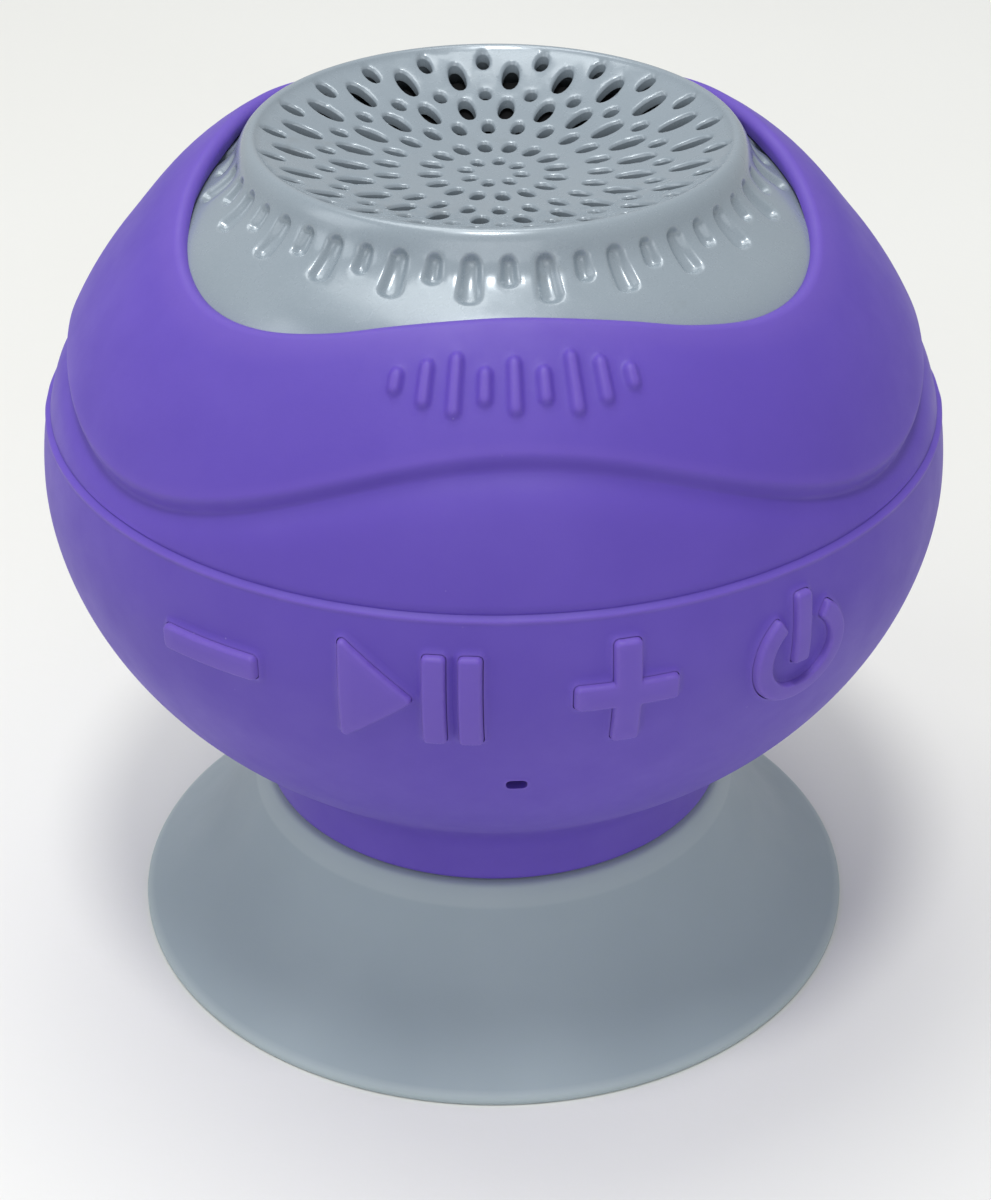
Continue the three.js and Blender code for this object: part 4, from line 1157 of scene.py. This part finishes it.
def lathe(profile, columns=360):
    """Turns a profile that starts and ends on the axis."""
    shell = Shell()
    theta = np.arange(columns) * 2 * math.pi / columns
    rows = []
    for r, z in profile:
        if r < 1e-6:
            rows.append([shell.add((0, 0, z))[0]] * columns)
        else:
            rows.append(shell.add(polar(r, z, theta), cup_rub(r, z)))
    for a, b in zip(rows, rows[1:]):
        shell.join(a, b)
    # on the axis a quad becomes a triangle
    shell.faces = [tuple(dict.fromkeys(face)) for face in shell.faces]
    return shell


cup = lathe(spline(CUP_UNDER)[::-1] + CUP_RIM + spline(CUP_OUTER) + CUP_STEM)
register(make_mesh("suction_cup_disc", cup, 40.0), "suction_cup", "silicone_grey", "speaker")

# ------------------------------------------------------------------ materials


class Material:
    """Small builder for node materials."""

    def __init__(self, name):
        self.mat = bpy.data.materials.new(name)
        self.mat.use_nodes = True
        self.tree = self.mat.node_tree
        self.tree.nodes.clear()
        out = self.node("ShaderNodeOutputMaterial")
        self.shader = self.node("ShaderNodeBsdfPrincipled")
        self.feed(out.inputs[0], self.shader.outputs[0])
        self.coords = self.node("ShaderNodeTexCoord").outputs["Object"]

    def feed(self, socket, value):
        if isinstance(value, bpy.types.NodeSocket):
            self.tree.links.new(value, socket)
        elif isinstance(value, tuple) and socket.type == "RGBA":
            socket.default_value = (*value, 1)
        else:
            socket.default_value = value

    def node(self, kind, **inputs):
        """A node with its inputs set by name, with _ for a space."""
        node = self.tree.nodes.new(kind)
        for key, value in inputs.items():
            self.feed(node.inputs[key.replace("_", " ")], value)
        return node

    def noise(self, scale, detail=4.0, roughness=0.55, distortion=0.0):
        return self.node("ShaderNodeTexNoise", Scale=scale, Detail=detail, Roughness=roughness,
                         Distortion=distortion, Vector=self.coords).outputs["Fac"]

    def voronoi(self, scale):
        return self.node("ShaderNodeTexVoronoi", Scale=scale,
                         Vector=self.coords).outputs["Distance"]

    def wave(self, scale, direction):
        node = self.node("ShaderNodeTexWave", Scale=scale, Distortion=0.3, Vector=self.coords)
        node.bands_direction = direction
        return node.outputs["Fac"]

    def ramp(self, fac, dark, light, start=0.3, end=0.7):
        node = self.node("ShaderNodeValToRGB", Fac=fac)
        for stop, place, colour in zip(node.color_ramp.elements, (start, end), (dark, light)):
            stop.position = place
            stop.color = (*colour, 1)
        return node.outputs[0]

    def remap(self, value, span, to):
        node = self.node("ShaderNodeMapRange", From_Min=span[0], From_Max=span[1],
                         To_Min=to[0], To_Max=to[1])
        self.feed(node.inputs[0], value)
        return node.outputs[0]

    def mix(self, fac, a, b):
        node = self.node("ShaderNodeMix")
        node.data_type = "RGBA"
        for index, value in ((0, fac), (6, a), (7, b)):
            self.feed(node.inputs[index], value)
        return node.outputs[2]

    def times(self, a, b):
        node = self.node("ShaderNodeMath")
        node.operation = "MULTIPLY"
        self.feed(node.inputs[0], a)
        self.feed(node.inputs[1], b)
        return node.outputs[0]

    def tint_wear_and_highlight(self, base, colour, amount):
        """Mixes in a paler colour where the paling attribute is high: wear on raised tops,
        painted highlight on edges and rims.
        """
        node = self.node("ShaderNodeAttribute")
        node.attribute_name = "rub"
        return self.mix(self.remap(node.outputs["Fac"], span=(0, 1), to=(0.0, amount)),
                        base, colour)

    def dust(self, base, colour, scale, size, patches, patch_span, amount):
        """Sparse specks, only where a large noise is high."""
        specks = self.remap(self.voronoi(scale), span=(0.0, size), to=(1.0, 0.0))
        where = self.remap(self.noise(patches, detail=2, roughness=0.5), patch_span, (0.0, 1.0))
        return self.mix(self.times(self.times(specks, where), amount), base, colour)

    def bump(self, *layers):
        """Layers are (height, strength, distance in metres), each over the one before."""
        normal = None
        for height, strength, distance in layers:
            node = self.node("ShaderNodeBump", Strength=strength, Distance=distance,
                             Height=height)
            if normal is not None:
                self.feed(node.inputs["Normal"], normal)
            normal = node.outputs[0]
        self.feed(self.shader.inputs["Normal"], normal)

    def set(self, **inputs):
        for key, value in inputs.items():
            self.feed(self.shader.inputs[key.replace("_", " ")], value)


def lin(*rgb):
    """Linear colour from 8-bit sRGB."""
    return tuple(((v / 255) / 12.92 if v / 255 <= 0.04045 else ((v / 255 + 0.055) / 1.055) ** 2.4)
                 for v in rgb)


def shade(colour, factor, lift=0.0):
    return tuple(min(1, v * factor + lift) for v in colour)


def purple_silicone():
    m = Material("purple_silicone")
    big = m.noise(22, detail=3, roughness=0.5)
    mid = m.noise(160, detail=4, roughness=0.6)
    fine = m.noise(2600, detail=3, roughness=0.6)
    base = m.ramp(big, dark=lin(88, 65, 170), light=lin(98, 74, 182))
    base = m.mix(m.remap(mid, span=(0.35, 0.75), to=(0.0, 0.35)), base, lin(83, 61, 165))
    # paler purple: wear on the keys' and bars' tops, painted highlight on edges, the bead and the
    # lip
    base = m.tint_wear_and_highlight(base, lin(124, 98, 192), amount=0.5)
    base = m.dust(base, lin(176, 160, 214), scale=420, size=0.045, patches=60,
                  patch_span=(0.58, 0.66), amount=0.55)
    m.set(Base_Color=base, Roughness=m.remap(mid, span=(0.3, 0.7), to=(0.5, 0.62)),
          Specular_IOR_Level=0.42, Sheen_Weight=0.05, Sheen_Roughness=0.5,
          Sheen_Tint=lin(190, 170, 240), Subsurface_Weight=0.12,
          Subsurface_Radius=(0.4, 0.2, 1.0), Subsurface_Scale=0.0012)
    m.bump((fine, 0.25, 0.00003), (mid, 0.12, 0.00015))
    return m.mat


def grey_silicone():
    m = Material("grey_silicone")
    big = m.noise(30, detail=3, roughness=0.5)
    mid = m.noise(200, detail=4, roughness=0.6)
    fine = m.noise(2400, detail=3, roughness=0.6)
    base = m.ramp(big, dark=lin(148, 162, 170), light=lin(158, 172, 179))
    # paler grey: painted glow on the rim and painted highlight on the collar
    base = m.tint_wear_and_highlight(base, lin(178, 190, 192), amount=0.5)
    base = m.dust(base, lin(92, 104, 114), scale=330, size=0.04, patches=70,
                  patch_span=(0.6, 0.68), amount=0.45)
    m.set(Base_Color=base, Roughness=m.remap(mid, span=(0.3, 0.7), to=(0.46, 0.58)),
          Specular_IOR_Level=0.42, Subsurface_Weight=0.15,
          Subsurface_Radius=(0.8, 1.0, 1.0), Subsurface_Scale=0.0015)
    m.bump((fine, 0.22, 0.00003), (mid, 0.12, 0.00012))
    return m.mat


def grille_paint():
    m = Material("grille_paint")
    big = m.noise(40, detail=3, roughness=0.5)
    mid = m.noise(350, detail=4, roughness=0.6)
    flake = m.voronoi(9000)
    base = m.ramp(big, dark=lin(135, 148, 158), light=lin(145, 157, 166))
    base = m.mix(m.remap(flake, span=(0.0, 0.6), to=(0.25, 0.0)), base, lin(176, 186, 196))
    # paler grey: painted highlight round the holes, the dimples and the crest
    base = m.tint_wear_and_highlight(base, lin(176, 186, 194), amount=0.16)
    grime = m.remap(m.noise(120, detail=5, roughness=0.7), span=(0.62, 0.74), to=(0.0, 0.35))
    base = m.mix(grime, base, lin(122, 128, 130))
    m.set(Base_Color=base, Metallic=0.12,
          Roughness=m.remap(mid, span=(0.3, 0.7), to=(0.22, 0.31)),
          Specular_IOR_Level=0.55, Coat_Weight=0.25, Coat_Roughness=0.12)
    m.bump((m.noise(900, detail=3, roughness=0.6), 0.14, 0.00004), (mid, 0.1, 0.00008))
    return m.mat


def plastic(name, rgb, rough=0.5, grain=1800, depth=0.00006, vary=0.12, specular=0.45):
    m = Material(name)
    colour = lin(*rgb)
    base = m.ramp(m.noise(60, detail=3, roughness=0.5),
                  dark=shade(colour, 1 - vary), light=shade(colour, 1 + vary))
    scuff = m.remap(m.noise(700, detail=6, roughness=0.75, distortion=0.6),
                    span=(0.66, 0.72), to=(0.0, 0.3))
    base = m.mix(scuff, base, shade(colour, 1.5, lift=0.03))
    m.set(Base_Color=base, Specular_IOR_Level=specular,
          Roughness=m.remap(m.noise(300, detail=4, roughness=0.6), span=(0.3, 0.7),
                            to=(rough - 0.07, rough + 0.08)))
    m.bump((m.voronoi(grain), 0.2, depth),
           (m.noise(grain * 0.5, detail=4, roughness=0.6), 0.15, depth))
    return m.mat


def metal(name, rgb, rough=0.3, brushed=True):
    m = Material(name)
    colour = lin(*rgb)
    base = m.ramp(m.noise(90, detail=4, roughness=0.6), dark=shade(colour, 0.88), light=colour)
    spots = m.remap(m.noise(900, detail=5, roughness=0.7), span=(0.64, 0.72), to=(0.0, 0.35))
    base = m.mix(spots, base, shade(colour, 0.55))
    m.set(Base_Color=base, Metallic=1.0,
          Roughness=m.remap(m.noise(500, detail=5, roughness=0.65), span=(0.3, 0.7),
                            to=(rough - 0.06, rough + 0.1)))
    grain = m.wave(1500, "Z") if brushed else m.noise(1500, detail=4, roughness=0.6)
    m.bump((grain, 0.12, 0.00003), (m.noise(2500, detail=3, roughness=0.6), 0.12, 0.00003))
    return m.mat


def cloth(name, rgb, scale):
    m = Material(name)
    colour = lin(*rgb)
    weave = m.times(m.wave(scale, "X"), m.wave(scale, "Y"))
    base = m.ramp(weave, dark=shade(colour, 0.5), light=colour, start=0.1)
    patches = m.remap(m.noise(120, detail=3, roughness=0.5), span=(0.3, 0.7), to=(0.0, 0.3))
    base = m.mix(patches, base, shade(colour, 0.7))
    m.set(Base_Color=base, Roughness=0.9, Specular_IOR_Level=0.2)
    m.bump((weave, 0.4, 0.00008))
    return m.mat


def paper(name, rgb):
    m = Material(name)
    colour = lin(*rgb)
    fibres = m.noise(1400, detail=6, roughness=0.75, distortion=1.2)
    base = m.ramp(fibres, dark=shade(colour, 0.75), light=shade(colour, 1.2))
    m.set(Base_Color=base, Roughness=0.82, Specular_IOR_Level=0.25)
    m.bump((fibres, 0.4, 0.00006))
    return m.mat


def board(name, rgb):
    m = Material(name)
    colour = lin(*rgb)
    traces = m.remap(m.wave(420, "DIAGONAL"), span=(0.45, 0.55), to=(0.0, 1.0))
    base = m.mix(m.times(traces, 0.4), colour, shade(colour, 1.6))
    weave = m.times(m.wave(1600, "X"), m.wave(1600, "Y"))
    m.set(Base_Color=base, Roughness=0.33, Specular_IOR_Level=0.5)
    m.bump((traces, 0.15, 0.00004), (weave, 0.1, 0.00003))
    return m.mat


MATERIALS = {
    "silicone_purple": purple_silicone(),
    "silicone_grey": grey_silicone(),
    "grille_grey": grille_paint(),
    "black_plastic": plastic("housing_plastic", (43, 45, 49), rough=0.55),
    "white_plastic": plastic("natural_nylon", (217, 218, 216)),
    "seal_red": plastic("seal_rubber", (125, 44, 42), rough=0.62, grain=2600, depth=0.00004),
    "black_rubber": plastic("black_rubber", (27, 27, 29), rough=0.75, grain=2400, depth=0.00004),
    "steel_screw": metal("zinc_steel", (185, 188, 192)),
    "steel_plate": metal("plated_steel", (154, 157, 161), rough=0.34, brushed=False),
    "basket_metal": plastic("basket_enamel", (58, 61, 66), rough=0.42, grain=2200,
                            depth=0.00005),
    "ferrite": plastic("ferrite", (44, 44, 46), rough=0.66, grain=900, depth=0.0001, vary=0.2),
    "copper": metal("copper_winding", (176, 106, 53)),
    "cone_paper": paper("cone_paper", (38, 39, 42)),
    "spider_cloth": cloth("spider_cloth", (199, 154, 74), scale=1500),
    "mesh_cloth": cloth("waterproof_mesh", (20, 21, 23), scale=2600),
    "board_green": board("solder_mask", (31, 90, 54)),
    "chip_black": plastic("moulded_epoxy", (27, 28, 30), rough=0.48, grain=2600, depth=0.00003),
    "shield_tin": metal("tinned_steel", (195, 198, 201), rough=0.28, brushed=False),
    "connector_cream": plastic("cream_nylon", (230, 226, 212)),
    "pouch_silver": metal("foil_pouch", (159, 164, 171), rough=0.36, brushed=False),
    "foam_grey": plastic("closed_cell_foam", (48, 48, 52), rough=0.92, grain=1400, depth=0.0002,
                         vary=0.25, specular=0.15),
    "lead_red": plastic("red_insulation", (179, 38, 30), rough=0.4, grain=2000, depth=0.00003),
    "lead_black": plastic("black_insulation", (24, 24, 26), rough=0.4, grain=2000,
                          depth=0.00003),
}
for subpart in frame["record"]["subparts"]:
    materials = frame["nodes"][subpart["node"]].data.materials
    materials.clear()
    materials.append(MATERIALS[subpart["material_slot"]])
for ob, slot in new_parts:
    ob.data.materials.append(MATERIALS[slot])

# ------------------------------------------------------------------ floor, world, lights, camera
# sizes here are in metres

FLOOR_HALF = 2.5


def floor_paper():
    m = Material("floor_paper")
    base = m.ramp(m.noise(3.5, detail=3, roughness=0.5),
                  dark=lin(228, 228, 224), light=lin(235, 236, 233))
    m.set(Base_Color=base, Specular_IOR_Level=0.3,
          Roughness=m.remap(m.noise(400, detail=4, roughness=0.6), span=(0.3, 0.7),
                            to=(0.55, 0.7)))
    m.bump((m.noise(900, detail=5, roughness=0.65), 0.12, 0.0002))
    return m.mat


floor_mesh = bpy.data.meshes.new("floor")
floor_mesh.from_pydata([(x * FLOOR_HALF, y * FLOOR_HALF, 0)
                        for x, y in ((-1, -1), (1, -1), (1, 1), (-1, 1))], [], [(0, 1, 2, 3)])
floor = bpy.data.objects.new("floor", floor_mesh)
bpy.context.scene.collection.objects.link(floor)
floor_mesh.materials.append(floor_paper())


def studio_world():
    """Soft light all round; the camera sees a pale wall that doesn't light the object."""
    world = bpy.data.worlds.new("studio")
    bpy.context.scene.world = world
    world.use_nodes = True
    nodes, links = world.node_tree.nodes, world.node_tree.links
    nodes.clear()
    out = nodes.new("ShaderNodeOutputWorld")
    light, wall = [nodes.new("ShaderNodeBackground") for _ in range(2)]
    light.inputs["Color"].default_value = (0.97, 0.98, 1.0, 1)
    light.inputs["Strength"].default_value = 0.5
    wall.inputs["Color"].default_value = (0.86, 0.87, 0.85, 1)
    wall.inputs["Strength"].default_value = 0.95
    path = nodes.new("ShaderNodeLightPath")
    blend = nodes.new("ShaderNodeMixShader")
    links.new(path.outputs["Is Camera Ray"], blend.inputs[0])
    links.new(light.outputs[0], blend.inputs[1])
    links.new(wall.outputs[0], blend.inputs[2])
    links.new(blend.outputs[0], out.inputs[0])


def aim_at(ob, location, target):
    ob.location = location
    direction = Vector(target) - Vector(location)
    ob.rotation_euler = direction.to_track_quat("-Z", "Y").to_euler()
    bpy.context.scene.collection.objects.link(ob)


def area(name, location, target, size, power, colour, size_y=None):
    """A round area light, or a rectangular one when size_y is given."""
    light = bpy.data.lights.new(name, "AREA")
    light.energy = power
    light.color = colour
    light.shape = "RECTANGLE" if size_y else "DISK"
    light.size = size
    if size_y:
        light.size_y = size_y
    aim_at(bpy.data.objects.new(name, light), location, target)


studio_world()
area("overhead", location=(-0.03, -0.22, 0.88), target=(0, 0, 0.05), size=0.17, power=2.7,
     colour=(1.0, 0.99, 0.97))
area("ceiling", location=(-0.12, 0.2, 0.95), target=(0, 0, 0.04), size=0.6, size_y=0.45,
     power=3.0, colour=(1.0, 1.0, 0.98))
area("window", location=(-0.8, -0.15, 0.6), target=(0, 0, 0.05), size=0.4, size_y=0.5,
     power=1.1, colour=(0.98, 0.99, 1.0))
area("fill", location=(-0.1, -0.95, 0.5), target=(0, 0, 0.03), size=0.8, size_y=0.5,
     power=1.7, colour=(1.0, 1.0, 1.0))

CAMERA_AZIMUTH, CAMERA_ELEVATION = math.radians(-3.0), math.radians(30.605)
CAMERA_DISTANCE = 0.2624
CAMERA_TARGET = Vector((0, 0, 0.040))

camera_data = bpy.data.cameras.new("camera")
camera = bpy.data.objects.new("camera", camera_data)
eye = CAMERA_TARGET + CAMERA_DISTANCE * Vector((
    math.sin(CAMERA_AZIMUTH) * math.cos(CAMERA_ELEVATION),
    -math.cos(CAMERA_AZIMUTH) * math.cos(CAMERA_ELEVATION),
    math.sin(CAMERA_ELEVATION)))
aim_at(camera, eye, CAMERA_TARGET)
camera_data.sensor_fit = "VERTICAL"
camera_data.sensor_height = 36.0
camera_data.lens = 80.913
camera_data.shift_x = 0.0015
camera_data.shift_y = -0.049075
camera_data.clip_start = 0.005
bpy.context.scene.camera = camera
bpy.context.scene.view_settings.view_transform = "Standard"
